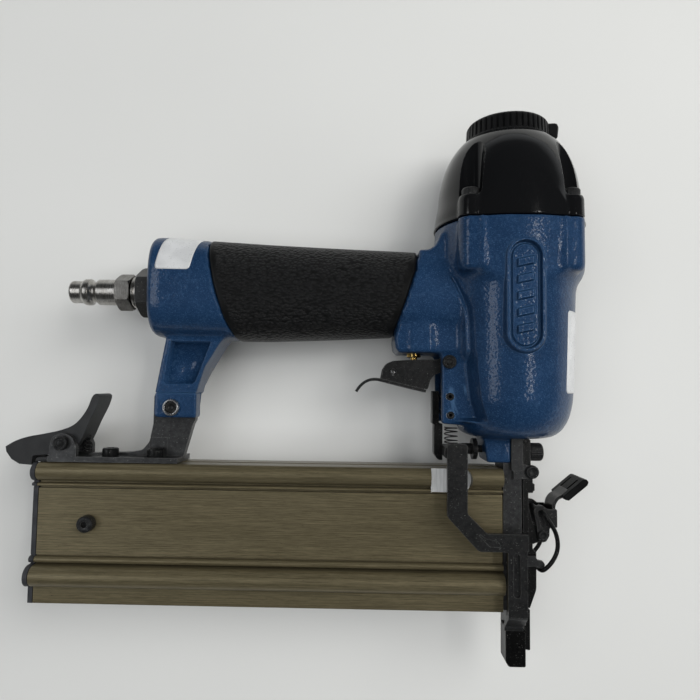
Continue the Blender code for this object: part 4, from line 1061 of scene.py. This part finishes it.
def magazine_skin():
    """Fixed near rail with its milled notch, sliding far rail and the moulded end plate."""
    near = rail_profile()
    fixed = prism("rail_near", near, MAG_X0, MAG_X1, "X")
    notch = [(-34.6, 71.2)] + notch_edge(4.2, 5.4, 1.2) + [(-17.4, 84.0), (-17.4, 95.0), (-34.6, 95.0)]
    boolean(fixed, block("channel", -210, 0, 24.6, 78.6, -5.0, 2.2), prism("notch", notch, 7.25, 20.0))
    slide = prism("rail_far", mirrored(near), MAG_X0, MAG_X1, "X")
    boolean(slide, block("channel", -210, 0, 24.6, 78.6, -2.2, 5.0))
    finish(fixed, BRONZE, "casing", "bronze_anodised", "magazine_fixed", edge=(0.12, 2, 50))
    finish(slide, BRONZE, "magazine_slide", "bronze_anodised", "magazine_slide", edge=(0.12, 2, 50))
    patch = [(-34.55, 71.25)] + notch_edge(4.15, 5.35, 1.0) + [(-19.4, 81.2), (-34.55, 81.2)]
    finish(prism("notch_floor", patch, 7.05, 7.33), ALU, "casing", "aluminium")
    wall = [(71.3, 7.3), (71.3, 9.3), (73.6, 9.3), (76.0, 11.1), (79.6, 11.1), (81.3, 9.0), (81.3, 7.3)]
    finish(prism("notch_wall", wall, -34.66, -34.5, "X"), ALU, "casing", "aluminium")
    plate = [(y, max(z, 7.4)) for y, z in near[1:-2] if y < 78.6]
    plate += [(79.2, 10.6), (80.6, 9.6), (81.2, 8.4), (81.2, 6.9), (79.4, 6.6)]
    end = prism("end_plate_skin", plate + mirrored(plate[::-1]), -204.7, MAG_X0 - 0.3, "X")
    finish(end, CHARCOAL, "magazine_slide", "black_plastic", "magazine_end_plate", edge=(0.7, 4, 60))


def coil(name, radius, wire, low, high, turns, centre, axis):
    """Helical spring; a short one has closed end coils."""
    points = []
    steps = int(turns * 28)
    for i in range(steps + 1):
        t = i / steps
        ang = TAU * turns * t
        h = low + wire + (high - low - 2 * wire) * float(smoothstep(-0.06, 1.06, t) if turns < 8 else t)
        points.append(spin(radius * math.cos(ang), radius * math.sin(ang), h, centre, axis))
    return tube(name, points, wire, 12)


def springs():
    """Five coil springs; each row also names the joint it sits at."""
    jobs = [("contact_spring", STEEL_DARK, "casing", 2.7, 0.27, 91.4, 98.8, 4.5, (-25.6, 4.0), "Y",
             "contact_arm_lift", (0, 1, 0), (-25.6, 98.8, 4.0), 0.19),
            ("head_valve_spring", WIRE, "casing", 19.0, 0.8, 190.4, 200.3, 4.5, (0, 0), "Y",
             "head_valve_lift", (0, 1, 0), (0, 200.3, 0), 0.64),
            ("valve_spring", WIRE, "casing", 2.1, 0.3, 135.9, 138.8, 3.5, (-41.5, 0), "Y",
             "valve_stem_lift", (0, 1, 0), (-41.5, 138.8, 0), 0.40),
            ("pusher_spring", WIRE, "magazine_slide", 1.3, 0.28, -198.0, -58.6, 34, (50.0, 0), "X",
             "pusher_travel", (1, 0, 0), (-198.0, 50.0, 0), 0.138),
            # the latch spring is dark steel rather than wire: painted shade inside the latch
            ("magazine_latch_spring", STEEL_DARK, "casing", 1.3, 0.3, 85.2, 92.4, 5, (-185.6, 0), "Y",
             "magazine_latch_swing", (0, 1, 0), (-185.6, 85.2, 0), 0.77)]
    for node, mat, body, radius, wire, low, high, turns, centre, axis, joint, along, anchor, keep in jobs:
        obj = coil(node + "_skin", radius, wire, low, high, turns, centre, axis)
        finish(obj, mat, body, "spring_steel", node)
        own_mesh(obj)


def magazine_screw_skin():
    """Button head screw with a knurled rim, a hexagon and six marks on its face."""
    cx, cy = -180.4, 56.0
    prof = [(0, 7.7), (3.3, 7.7), (3.5, 8.2), (3.5, 11.0), (3.4, 11.4), (3.1, 11.75), (2.6, 11.95),
            (2.0, 12.0), (1.75, 11.9), (0, 11.9)]
    screw = lathe("magazine_screw_skin", prof, (cx, cy), "Z", 144, warp=knurl(0.12, 24, 3.3, 8.6, 11.3))
    boolean(screw, prism("hex", circle(cx, cy, 1.5, 6, 0.3), 9.9, 14.0))
    for k in range(6):
        a = TAU * k / 6 + 0.2
        at = (cx + 2.55 * math.cos(a), cy + 2.55 * math.sin(a))
        boolean(screw, rod("tick", 0.22, 11.8, 13.0, at, "Z", 8))
    finish(screw, STEEL, "casing", "black_steel", "magazine_screw", edge=(0.1, 2, 40))


magazine_skin()
springs()
magazine_screw_skin()


# ---------------------------------------------------------------- air inlet

def hexagon(name, radius, low, high, cone):
    """Hexagonal bar on the handle axis with its corners turned down by a cone profile."""
    nut = prism(name, circle(HANDLE_Y, 0, radius, 6), low, high, "X")
    return boolean(nut, lathe("cone", cone, (HANDLE_Y, 0), "X", 96), op="INTERSECT")


def inlet_skin():
    """Quick-connect plug with its grooves, hexagon and collar, and the hexagonal bushing."""
    axis = (HANDLE_Y, 0)
    prof = [(3.55, -194.9), (4.2, -195.0), (4.65, -194.85), (4.95, -194.4), (5.0, -193.9), (5.0, -190.0),
            (5.05, -189.6), (5.5, -189.1), (5.85, -188.6), (5.95, -188.0), (5.95, -186.7), (5.8, -186.2),
            (5.2, -185.7), (4.6, -185.3), (4.5, -185.0), (4.5, -183.9), (4.65, -183.6), (5.3, -183.0),
            (5.65, -182.6), (5.75, -182.2), (5.75, -174.4), (5.9, -174.0), (6.0, -173.6), (6.0, -167.0),
            (6.4, -166.9), (6.9, -166.5), (7.1, -166.0), (7.1, -165.5), (6.8, -165.2), (6.8, -165.0),
            (7.1, -164.8), (7.1, -164.0), (6.7, -163.7), (6.1, -163.6), (6.1, -152.0), (3.6, -152.0)]
    plug = lathe("plug_skin", prof, axis, "X", 120, True)
    finish(plug, NICKEL, "casing", "nickel", "air_plug", edge=(0.06, 2, 50))
    nut = hexagon("hex", 8.3, -173.5, -167.0, [(0, -173.6), (7.5, -173.6), (8.6, -172.6), (8.6, -167.9),
                                               (7.5, -166.9), (0, -166.9)])
    boolean(nut, rod("bore", 5.2, -180.0, -160.0, axis, "X", 64))
    finish(nut, NICKEL_DARK, "casing", "nickel", edge=(0.25, 3, 25))
    bush = hexagon("bushing_skin", 11.2, -163.4, -156.1, [(0, -163.5), (10.3, -163.5), (11.5, -162.3),
                                                          (11.5, -156.9), (10.9, -156.0), (0, -156.0)])
    thread = [(8.2 if k % 2 else 7.7, -156.6 + k * 0.3) for k in range(25)]
    union(bush, lathe("bushing_thread", [(0, -157.0)] + thread + [(0, -149.2)], axis, "X", 72))
    boolean(bush, rod("bore", 6.4, -170.0, -140.0, axis, "X", 72))
    finish(bush, STEEL, "casing", "black_steel", "inlet_bushing", edge=(0.25, 3, 25))
    ring = lathe("bushing_washer", [(6.5, -163.9), (8.3, -163.9), (8.6, -163.6), (8.6, -163.3),
                                    (6.5, -163.3)],
                 axis, "X", 96, True)
    finish(ring, ZINC, "casing", "bright_steel", edge=(0.08, 2, 40))


# ---------------------------------------------------------------- trigger, pins, bolts and screws

def trigger_skin():
    """Folded steel trigger: thin cheeks on a floor strip that curls down into the finger lip."""
    cheek = rounded([(-56.0, 119.4), (-55.3, 123.2), (-53.8, 125.6), (-51.0, 126.8), (-44.1, 127.3),
                     (-31.6, 127.6), (-27.7, 129.3), (-25.2, 128.2), (-24.5, 126.0), (-25.4, 123.8),
                     (-27.6, 122.9), (-31.0, 121.8), (-33.2, 121.0), (-34.9, 118.6), (-35.6, 116.0),
                     (-36.2, 114.6), (-55.7, 118.6)],
                    [1.0, 2, 1.5, 2, 2, 1, 1, 1, 1, 1, 1, 1, 1.5, 1.5, 0.8, 0.4, 0], 4)
    bottom = smooth_outline([(-66.3, 113.0), (-64.9, 115.0), (-63.0, 116.8), (-60.6, 117.9), (-58.0, 118.1),
                             (-55.4, 117.6), (-46.0, 115.4), (-36.9, 113.3)], 6)
    top, gauge = [], 1.25
    for i, p in enumerate(bottom):
        a, b = bottom[max(i - 1, 0)], bottom[min(i + 1, len(bottom) - 1)]
        k = gauge / math.hypot(b[0] - a[0], b[1] - a[1])
        top.append((p[0] - (b[1] - a[1]) * k, p[1] + (b[0] - a[0]) * k))
    body = prism("trigger_skin", bottom + top[::-1], -7.4, 7.4)
    union(body, *both_sides("cheek", cheek, 5.7, 7.05)[::-1])
    boolean(body, rod("pivot", 2.3, -20, 20, TRIGGER_PIN, "Z", 40),
            rod("rocker_pivot", 1.3, -20, 20, (-50.9, 121.9), "Z", 32))
    finish(body, STEEL, "trigger", "black_steel", "trigger", edge=(0.3, 3, 35))


def pins_and_bolts():
    """Pins and bolts turned about Z, then the nose screw and the bracket screws with their sockets."""
    roll = [(0.75, -12.5), (0.9, -12.65), (1.35, -12.65), (1.55, -12.4), (1.55, 12.4), (1.35, 12.65),
            (0.9, 12.65), (0.75, 12.5)]
    leg_bolt = (-145.8, 105.6)
    jobs = [("trigger_pin_skin", "trigger_pin", STEEL, "casing", TRIGGER_PIN, 72, None,
             [(0, -14.6), (2.3, -14.6), (2.8, -14.2), (2.9, -13.7), (2.9, -12.8), (1.8, -12.7), (1.8, 12.7),
              (2.9, 12.8), (2.92, 13.9), (2.75, 14.35), (2.35, 14.6), (2.0, 14.35), (1.8, 14.15),
              (1.55, 14.12), (1.35, 14.3), (1.25, 14.95), (1.1, 15.15), (0, 15.2)]),
            ("roll_pin_skin_1", "roll_pin_1", STEEL, "casing", ROLL_PINS[0], 48, None, roll),
            ("roll_pin_skin_2", "roll_pin_2", STEEL, "casing", ROLL_PINS[1], 48, None, roll),
            ("leg_bolt_skin", "leg_bolt", ZINC, "casing", leg_bolt, 96, (0.06, 2, 45),
             [(0, -10.6), (3.3, -10.6), (3.6, -10.3), (3.65, -9.6), (3.65, 9.6), (3.6, 10.25), (3.35, 10.6),
              (3.0, 10.72), (2.65, 10.6), (2.5, 10.2), (2.45, 9.4), (0, 9.4)]),
            ("leg_bolt_socket", None, STEEL, "casing", leg_bolt, 72, None,
             [(0, 9.3), (2.45, 9.3), (2.48, 9.9), (2.3, 10.15), (1.75, 10.2), (1.6, 9.7), (1.5, 9.5),
              (0, 9.5)]),
            ("latch_pivot_skin", "magazine_latch_pin", STEEL, "casing", LATCH_PIVOT, 72, None,
             [(0, -11.6), (2.7, -11.6), (3.0, -11.2), (3.1, -10.8), (3.1, -9.3), (1.5, -9.2), (1.5, 9.2),
              (3.1, 9.3), (3.1, 10.6), (2.95, 11.1), (2.6, 11.3), (2.2, 11.15), (2.0, 10.8), (1.75, 10.75),
              (1.55, 11.0), (1.4, 11.5), (0.9, 11.8), (0, 11.85)]),
            ("hinge_pin_skin", "door_hinge_pin", STEEL, "casing", HINGE_PIN, 72, None,
             [(0, -10.6), (1.9, -10.6), (2.3, -10.3), (2.4, -9.5), (1.2, -9.4), (1.2, 9.5), (2.7, 9.55),
              (2.75, 10.3), (2.5, 10.75), (2.1, 10.85), (1.75, 10.7), (1.55, 10.3), (1.2, 10.2), (0, 10.25)]),
            ("latch_pin_skin", "latch_pin", STEEL, "nose_door", LATCH_PIN, 60, None,
             [(0, -8.9), (1.5, -8.9), (1.8, -8.6), (1.8, -8.05), (1.2, -8.0), (1.2, 8.0), (1.85, 8.05),
              (1.9, 8.6), (1.7, 8.9), (1.35, 8.95), (1.15, 8.75), (1.0, 8.35), (0, 8.3)])]
    for name, node, mat, body, centre, n, edge, prof in jobs:
        pin = lathe(name, prof, centre, "Z", n, ring=prof is roll)
        slot = "bright_steel" if mat is ZINC else "black_steel"
        finish(pin, mat, body, slot, *([node] if node else []), edge=edge)
    prof = [(0, 4.45), (2.9, 4.45), (2.9, 8.6), (3.5, 8.7), (3.85, 9.0), (3.9, 9.4), (3.9, 13.2),
            (3.86, 13.8), (3.65, 14.3), (3.3, 14.6), (2.5, 14.7), (0, 14.6)]
    front = lathe("nose_screw_skin", prof, (88.0, 0), "X", 156, warp=knurl(0.16, 26, 3.8, 9.2, 13.6))
    boolean(front, prism("hex", circle(88.0, 0, 2.1, 6), 11.0, 17.0, "X"))
    finish(front, STEEL, "casing", "black_steel", "nose_screw_front", edge=(0.08, 2, 45))
    prof = [(0, 84.1), (3.3, 84.1), (3.42, 84.4), (3.42, 86.9), (3.3, 87.3), (3.0, 87.6), (2.4, 87.75),
            (0, 87.6)]
    for i, x in enumerate((-172.8, -153.3)):
        screw = lathe("bracket_screw_skin_%d" % (i + 1), prof, (x, 5.6), "Y", 132,
                      warp=knurl(0.12, 22, 3.3, 84.7, 87.0))
        boolean(screw, prism("hex", circle(5.6, x, 1.6, 6), 85.6, 90.0, "Y"))
        finish(screw, STEEL_DARK, "casing", "black_steel", "bracket_screw_%d" % (i + 1), edge=(0.08, 2, 45))


# ---------------------------------------------------------------- nose latch

def bail_skin():
    """Round wire loop from the lever to the hook."""
    half, per = 10.3, 6
    side = [(15.6, 58.6), (17.2, 55.3), (17.9, 51.7), (17.6, 48.4), (16.4, 45.4), (14.4, 42.6)]
    path = [(12.2, 63.8, 0.0), (12.2, 63.8, 4.0), (12.2, 63.8, 7.6), (12.3, 63.7, 9.2), (12.9, 62.8, 10.1)]
    path += [(x, y, half) for x, y in side]
    path += [(12.5, 40.7, 10.0), (11.6, 39.9, 8.6), (11.3, 39.7, 5.0), (11.3, 39.7, 0.0)]
    path += [(x, y, -z) for x, y, z in reversed(path[1:-1])]
    loop = smooth_path(path + path[:3], per)[per:per + len(path) * per]
    finish(tube("bail_skin", loop, 0.9, 18, True), STEEL_DARK, "latch_bail", "black_steel", "latch_bail")


def paddle_skin():
    """Thumb paddle of the latch lever: soft cover with two grooves and two holes."""
    outline = rounded([(21.2, 70.4), (22.0, 68.9), (23.6, 68.6), (31.4, 75.0), (32.0, 76.4), (31.2, 77.6),
                       (29.8, 77.6)], [0.6, 0.8, 0.8, 1.0, 0.8, 0.8, 1.0], 5)
    pad = prism("paddle_skin", outline, -8.0, 8.0)
    along = Vector((8.7, 7.0)).normalized()
    across = Vector((-along.y, along.x))
    mid = Vector((25.6, 74.1))
    a, b = mid - along * 4.4 + across * 0.1, mid + along * 4.2 + across * 0.1
    groove = [tuple(p) for p in (a - across * 0.75, b - across * 0.75, b + across * 1.2, a + across * 1.2)]
    tools = [prism("groove", groove, z, z + 0.7) for z in (-4.2, 3.4)]
    for t in (-1.6, 2.0):
        c = mid + along * t
        hole = rod("hole", 0.8, -3.0, 3.0, (0, 0), "Z", 24)
        turned = [(c.x + across.x * z + along.x * x, c.y + across.y * z + along.y * x, y - 0.2)
                  for x, y, z in drawn(hole)]
        tools.append(redraw(hole, np.array(turned)))
    boolean(pad, *tools)
    finish(pad, RUBBER, "latch_lever", "black_rubber", "latch_paddle", edge=(0.45, 3, 40))


inlet_skin()
trigger_skin()
pins_and_bolts()
bail_skin()
paddle_skin()


# ---------------------------------------------------------------- nose

def guide_skin():
    """Driver guide column with its flange, hook ears and round hinge lugs, and the shim plate."""
    guide = block("column", -3.9, 3.8, 12.4, 84.0, -7.6, 7.6)
    spigot = [(0, 94.0), (6.2, 94.0), (6.2, 98.4), (5.6, 98.7), (0, 98.7)]
    union(guide, block("flange", -0.9, 3.95, 81.0, 94.6, -9.6, 9.6), lathe("spigot", spigot, (0, 0), "Y", 64))
    ear = rounded([(-2.0, 41.4), (9.2, 41.4), (9.7, 40.9), (12.6, 40.9), (13.1, 42.3), (12.3, 43.6),
                   (9.9, 44.0), (9.2, 45.6), (-2.0, 45.6)], [0, 0.3, 0.5, 0.8, 0.8, 0.6, 0.6, 0.6, 0], 3)
    lug = [(0.0, 77.4), (5.2, 77.6)]
    lug += [(7.9 + 2.8 * math.cos(a), 80.5 + 2.8 * math.sin(a)) for a in np.linspace(-1.9, 1.57, 18)]
    lug += [(5.6, 83.3), (5.0, 83.6), (0.0, 83.6)]
    for pair in zip(both_sides("ear", ear, 7.0, 8.8), both_sides("lug", lug, 6.9, 9.4)):
        union(guide, *pair)
    boolean(guide, block("toe_back", -12.0, 12.0, 0.0, 23.0, -12.0, -2.6),
            block("toe_left", -12.0, -2.7, 0.0, 23.0, -12.0, 12.0),
            block("driver_groove", -1.9, 1.9, 5.0, 100.0, -1.2, 1.2),
            block("door_groove", 1.0, 12.0, 5.0, 77.0, -3.4, 3.4),
            block("nail_window", -10.0, 0.0, 24.0, 77.0, -0.95, 0.95),
            rod("hinge_hole", 1.5, -20, 20, HINGE_PIN, "Z", 32),
            rod("tap", 2.2, -4.0, 8.0, (88.0, 0), "X", 32))
    finish(guide, STEEL_LIGHT, "casing", "black_steel", "driver_guide", edge=(0.35, 3, 35))
    shim = rounded([(4.2, 82.7), (7.2, 82.7), (7.2, 94.3), (4.2, 94.3)], [0.1, 0.8, 0.8, 0.1], 4)
    finish(prism("nose_shim", shim, -9.0, 9.2), STEEL_DARK, "casing", "black_steel", edge=(0.3, 3, 35))


def door_skin():
    """Nose door: thin strip with a lipped top block, a thick lower rib, a tongue and latch lugs."""
    top = rounded([(4.6, 71.4), (8.9, 71.4), (9.0, 72.2), (9.6, 72.3), (9.6, 75.2), (8.8, 75.4), (8.8, 76.8),
                   (4.6, 76.8)], [0, 0.3, 0.2, 0.3, 0.3, 0.2, 0.3, 0], 2)
    rib = rounded([(5.4, 24.0), (7.3, 23.6), (9.9, 30.8), (10.1, 32.0), (10.1, 46.6), (9.4, 47.6),
                   (8.6, 48.0), (8.6, 50.4), (5.4, 50.4)], [0, 0.4, 0.8, 0.6, 0.6, 0.5, 0.3, 0.3, 0], 2)
    lug = rounded([(5.4, 49.0), (12.0, 51.2), (13.8, 52.2), (14.5, 54.2), (13.6, 56.0), (11.8, 56.6),
                   (8.6, 58.6), (7.4, 64.0), (7.0, 66.4), (5.4, 66.4)],
                  [0, 1, 1.4, 1.4, 1.4, 1, 1.5, 1, 0.4, 0], 3)
    leaf = block("door_skin", 4.6, 6.9, 24.0, 76.6, -6.6, 6.6)
    union(leaf, prism("top", top, -6.6, 6.6), prism("rib", rib, -6.6, 6.6),
          block("lug", 5.4, 8.8, 74.0, 80.0, -6.5, 6.5), rod("knuckle", 2.6, -6.5, 6.5, HINGE_PIN, "Z", 48),
          block("tongue", 1.9, 5.0, 25.0, 76.0, -3.0, 3.0), *both_sides("latch_lug", lug, 4.8, 6.55))
    boolean(leaf, *[rod("pin_hole", 1.5, -20, 20, pin, "Z", 32) for pin in (LATCH_PIN, HINGE_PIN)])
    finish(leaf, STEEL_DARK, "nose_door", "black_steel", "nose_door", edge=(0.3, 3, 35))


def lever_skin():
    """Folded latch lever: two cheek plates with a long slot, a bridge and a curved strap to the paddle."""
    cheek = rounded([(8.9, 64.2), (9.6, 66.1), (11.0, 66.6), (12.8, 66.3), (14.8, 64.8), (18.5, 64.8),
                     (18.6, 57.4), (15.4, 57.3), (15.2, 53.8), (13.9, 51.6), (12.2, 51.1), (10.7, 52.3),
                     (9.9, 58.6)],
                    [0.8, 0.8, 0.8, 0.8, 0.8, 0.6, 0.4, 0.8, 1, 1.2, 1.2, 1.2, 1], 4)
    lever = prism("lever_skin", cheek, 6.75, 8.0)
    mid = smooth_path([(17.9, 60.0, 0), (17.9, 64.0, 0), (18.2, 66.6, 0), (19.6, 68.9, 0), (21.8, 70.2, 0),
                       (24.4, 72.4, 0)], 8)
    left, right = [], []
    for i, p in enumerate(mid):
        t = (mid[min(i + 1, len(mid) - 1)] - mid[max(i - 1, 0)]).normalized()
        half = Vector((-t.y, t.x, 0)) * 0.65
        left.append(tuple((p + half).xy))
        right.append(tuple((p - half).xy))
    union(lever, prism("cheek", cheek, -8.0, -6.75), block("bridge", 17.3, 18.55, 57.6, 64.7, -7.6, 7.6),
          prism("strap", left + right[::-1], -4.6, 5.6))
    slot_a, slot_b = Vector((11.2, 63.6)), Vector((12.6, 58.2))
    along = (slot_b - slot_a).normalized()
    side = Vector((-along.y, along.x))
    slot = [tuple(end + (side * math.cos(a) - along * math.sin(a)) * r)
            for end, r in ((slot_a, 0.95), (slot_b, -0.95)) for a in np.linspace(0, math.pi, 12)]
    boolean(lever, prism("slot", slot, 7.35, 9.0), rod("hole", 1.5, -9, 9, LATCH_PIN, "Z", 32))
    finish(lever, STEEL, "latch_lever", "black_steel", "latch_lever", edge=(0.22, 3, 35))


def contact_arm_skin():
    """Cranked safety arm with a long bead and a foot bent back, its shoe and upper link; strip of the door."""
    outline = rounded([(-28.9, 92.6), (-28.9, 63.0), (-16.0, 49.2), (-4.2, 49.2), (-4.2, 23.2), (3.7, 23.2),
                       (3.7, 49.2), (4.2, 49.8), (4.2, 56.4), (-12.6, 56.4), (-20.6, 64.2), (-20.6, 92.6)],
                      [1.4, 3, 3, 0.6, 0, 0, 0.4, 0.3, 0.6, 1, 2, 1.4], 5)
    arm = prism("contact_arm_skin", outline, 14.4, 16.6)
    bend = [(24.6, 16.58), (24.6, 14.42), (23.4, 13.9), (22.2, 12.9), (17.4, 8.0), (15.4, 7.4), (15.4, 9.6),
            (16.8, 10.0), (17.8, 10.8), (21.6, 15.0), (22.6, 16.0)]
    seat = rounded(rect(-29.6, -21.2, 86.4, 90.8), 0.6, 3)
    union(arm, prism("bend", bend, -4.15, 3.65, "X"), prism("spring_seat", seat, -2.0, 15.0))
    bead = [(-0.65 + 1.35 * math.cos(a), y + 1.35 * math.sin(a)) for y, start in ((47.35, 0), (32.4, math.pi))
            for a in np.linspace(start, start + math.pi, 16)]
    dent = rounded([(-17.6, 57.4), (-11.6, 51.2), (-6.6, 51.0), (-8.4, 53.4), (-13.0, 54.4)], 0.8, 4)
    for tool in (prism("bead", bead, 15.5, 18.0), prism("dent", dent, 16.35, 18.0)):
        boolean(arm, tool)
    finish(arm, STEEL, "contact_arm", "black_steel", "contact_arm", edge=(0.4, 3, 35))
    shoe = rounded([(-3.7, 16.6), (-3.7, 3.0), (-2.6, 1.2), (-1.8, 0.9), (4.3, 0.9), (4.6, 1.4), (4.6, 15.9),
                    (3.6, 16.6)], [0.5, 1, 1, 0.5, 0.6, 0.5, 0.5, 0.5], 4)
    tip = prism("contact_tip_skin", shoe, 1.4, 9.6)
    boolean(tip, block("slot", -1.9, 1.9, -5.0, 3.4, 0.0, 3.4))
    union(tip, block("riser", -3.3, 3.4, 14.0, 17.6, 7.6, 9.6))
    finish(tip, STEEL_DEEP, "contact_arm", "black_steel", "contact_tip", edge=(0.4, 3, 35))
    strip = rounded([(4.9, 6.0), (8.0, 5.4), (8.0, 22.4), (6.2, 22.4), (6.2, 15.0), (4.9, 14.0)],
                    [0, 0.5, 0.6, 0.6, 0.5, 0], 4)
    finish(prism("shoe_strip", strip, 0.4, 4.6), STEEL_DARK, "nose_door", "black_steel", edge=(0.3, 3, 35))
    link_outline = rounded([(-32.7, 87.0), (-31.0, 84.2), (-29.0, 84.2), (-29.0, 99.8), (-30.6, 100.2),
                            (-30.6, 114.0), (-33.5, 114.0), (-33.5, 99.8), (-32.7, 99.6)],
                           [2, 2, 0.3, 0.3, 0.4, 0.5, 0.5, 0.6, 0.4], 4)
    finish(prism("safety_link_skin", link_outline, -3.0, 3.0), STEEL_DARK, "contact_arm", "black_steel",
           "safety_link", edge=(0.4, 3, 35))


# ---------------------------------------------------------------- rear latch

def rear_latch_skin():
    """Moulded magazine latch: broad nose, slim thumb lever with a rounded back."""
    back = [(-218.6, 87.6), (-214.1, 90.2), (-208.7, 92.0), (-201.6, 93.4), (-195.3, 94.8), (-189.9, 96.9),
            (-186.5, 99.9), (-183.5, 104.5), (-181.9, 108.8), (-180.9, 110.4), (-179.6, 110.9),
            (-178.4, 110.3), (-178.2, 108.9), (-179.6, 104.6), (-182.3, 98.9), (-184.9, 92.6), (-187.0, 88.6),
            (-189.4, 86.0)]
    under = [(-196.0, 84.6), (-199.4, 84.4), (-206.0, 84.0), (-206.6, 83.4), (-207.0, 79.8), (-212.3, 80.2),
             (-215.8, 82.2), (-218.2, 85.4)]
    latch = prism("rear_latch_skin", smooth_outline(back, 5) + under, -6.2, 6.2)
    boolean(latch, rod("pivot_hole", 1.8, -10, 10, LATCH_PIVOT, "Z", 40),
            block("slide_gap", -230.0, -204.0, 70.0, 81.9, -10.0, 0.7),
            block("spring_well", -190.0, -180.0, 80.0, 91.0, -3.2, 3.2))
    # lighter moulded plastic: painted sheen on the latch
    finish(latch, PLASTIC_SHEEN, "magazine_latch", "black_plastic", "magazine_latch", edge=(1.1, 5, 40))
    foot = [(-204.0, 81.6), (-198.4, 81.6), (-198.4, 83.6), (-202.8, 83.6), (-204.0, 82.8)]
    finish(prism("base_tail", foot, -6.2, 8.6), STEEL, "casing", "black_steel", edge=(0.4, 3, 35))


guide_skin()
door_skin()
lever_skin()
contact_arm_skin()
rear_latch_skin()


# ---------------------------------------------------------------- remaining CAD nodes

def dress_nodes():
    """Material and edge rounding for the CAD nodes; the ones that a piece replaces are hidden."""
    slots = {part["node"]: part.get("material_slot") for part in frame["record"].get("subparts", [])}
    for name, obj in NODES.items():
        bracket = name == "magazine_bracket"
        obj.data.materials.clear()
        obj.data.materials.append(STEEL_LIGHT if bracket else BY_SLOT.get(slots.get(name), STEEL))
        edge_round(obj, 0.5 if bracket else 0.2)


# ---------------------------------------------------------------- camera, light, floor

def camera():
    """Camera of the photograph, looking down at the part."""
    cam = bpy.data.cameras.new("camera")
    cam.sensor_width = 36.0
    cam.lens = 29.57
    cam.clip_start = 0.01
    obj = link("camera", cam)
    turn = Matrix.Rotation(0.0605, 3, "X") @ Matrix.Rotation(0.0172, 3, "Y") @ Matrix.Rotation(0.0122, 3, "Z")
    obj.matrix_world = Matrix.Translation(world((-65.37, 116.21, 255.28))) @ turn.to_4x4()
    bpy.context.scene.camera = obj


def ground():
    """Pale card that the part lies on."""
    n, half = 12, 1.6
    line = [-half + 2 * half * i / n for i in range(n + 1)]
    corners = [j * (n + 1) + i for j in range(n) for i in range(n)]
    mesh = bpy.data.meshes.new("floor")
    mesh.from_pydata([(x, y, 0.0) for y in line for x in line], [],
                     [(c, c + 1, c + n + 2, c + n + 1) for c in corners])
    mesh.materials.append(CARD)
    link("floor", mesh)


def sky():
    """Grey room, bright at the horizon and dark overhead."""
    world_data = bpy.data.worlds.new("studio")
    bpy.context.scene.world = world_data
    world_data.use_nodes = True
    tree = world_data.node_tree
    split = tree.nodes.new("ShaderNodeSeparateXYZ")
    tree.links.new(tree.nodes.new("ShaderNodeTexCoord").outputs["Generated"], split.inputs[0])
    ramp = tree.nodes.new("ShaderNodeValToRGB")
    tree.links.new(split.outputs["Z"], ramp.inputs["Fac"])
    room = [(0.0, 0.70), (0.13, 0.42), (0.25, 0.09), (0.45, 0.045), (1.0, 0.03)]
    while len(ramp.color_ramp.elements) < len(room):
        ramp.color_ramp.elements.new(0.5)
    for element, (at, tone) in zip(ramp.color_ramp.elements, room):
        element.position = at
        element.color = (tone * 0.95, tone * 0.985, tone, 1.0)
    tree.links.new(ramp.outputs["Color"], tree.nodes["Background"].inputs["Color"])
    tree.nodes["Background"].inputs["Strength"].default_value = 1.0


def panel(name, at, size, power, color, mirrored):
    """Rectangular soft light aimed at the part; one that isn't mirrored shows in no reflection."""
    data = bpy.data.lights.new(name, "AREA")
    data.shape = "RECTANGLE"
    data.size, data.size_y = size
    data.energy = power
    data.color = color
    obj = link(name, data)
    obj.location = at
    obj.visible_glossy = mirrored
    back = (Vector(at) - Vector((0.0, 0.0, 0.02))).normalized()
    across = Vector((0.0, 1.0, 0.0)).cross(back).normalized()
    obj.rotation_euler = Matrix((across, back.cross(across), back)).transposed().to_euler()


def studio():
    """Soft window light from the upper right, with fills, and a plain view transform."""
    panel("window", (0.85, 0.55, 1.05), (1.1, 0.8), 15.8, (1.0, 0.99, 0.965), False)
    panel("ceiling", (-0.25, 0.1, 1.5), (0.9, 0.6), 7.1, (0.98, 0.99, 1.0), False)
    panel("softbox", (-0.05, -0.36, 1.30), (1.1, 0.30), 3.2, (0.98, 0.99, 1.0), False)
    panel("lamp", (0.66, 0.10, 1.25), (0.07, 0.62), 1.6, (1.0, 0.98, 0.95), True)
    panel("side", (-0.80, 0.14, 1.15), (0.34, 0.80), 2.2, (0.96, 0.98, 1.0), True)
    panel("rim", (1.15, 0.10, 0.55), (0.3, 0.9), 2.0, (1.0, 0.99, 0.97), False)
    view = bpy.context.scene.view_settings
    view.view_transform = "Standard"
    view.look = "None"
    view.exposure = 0.0
    view.gamma = 1.0


dress_nodes()
camera()
ground()
sky()
studio()
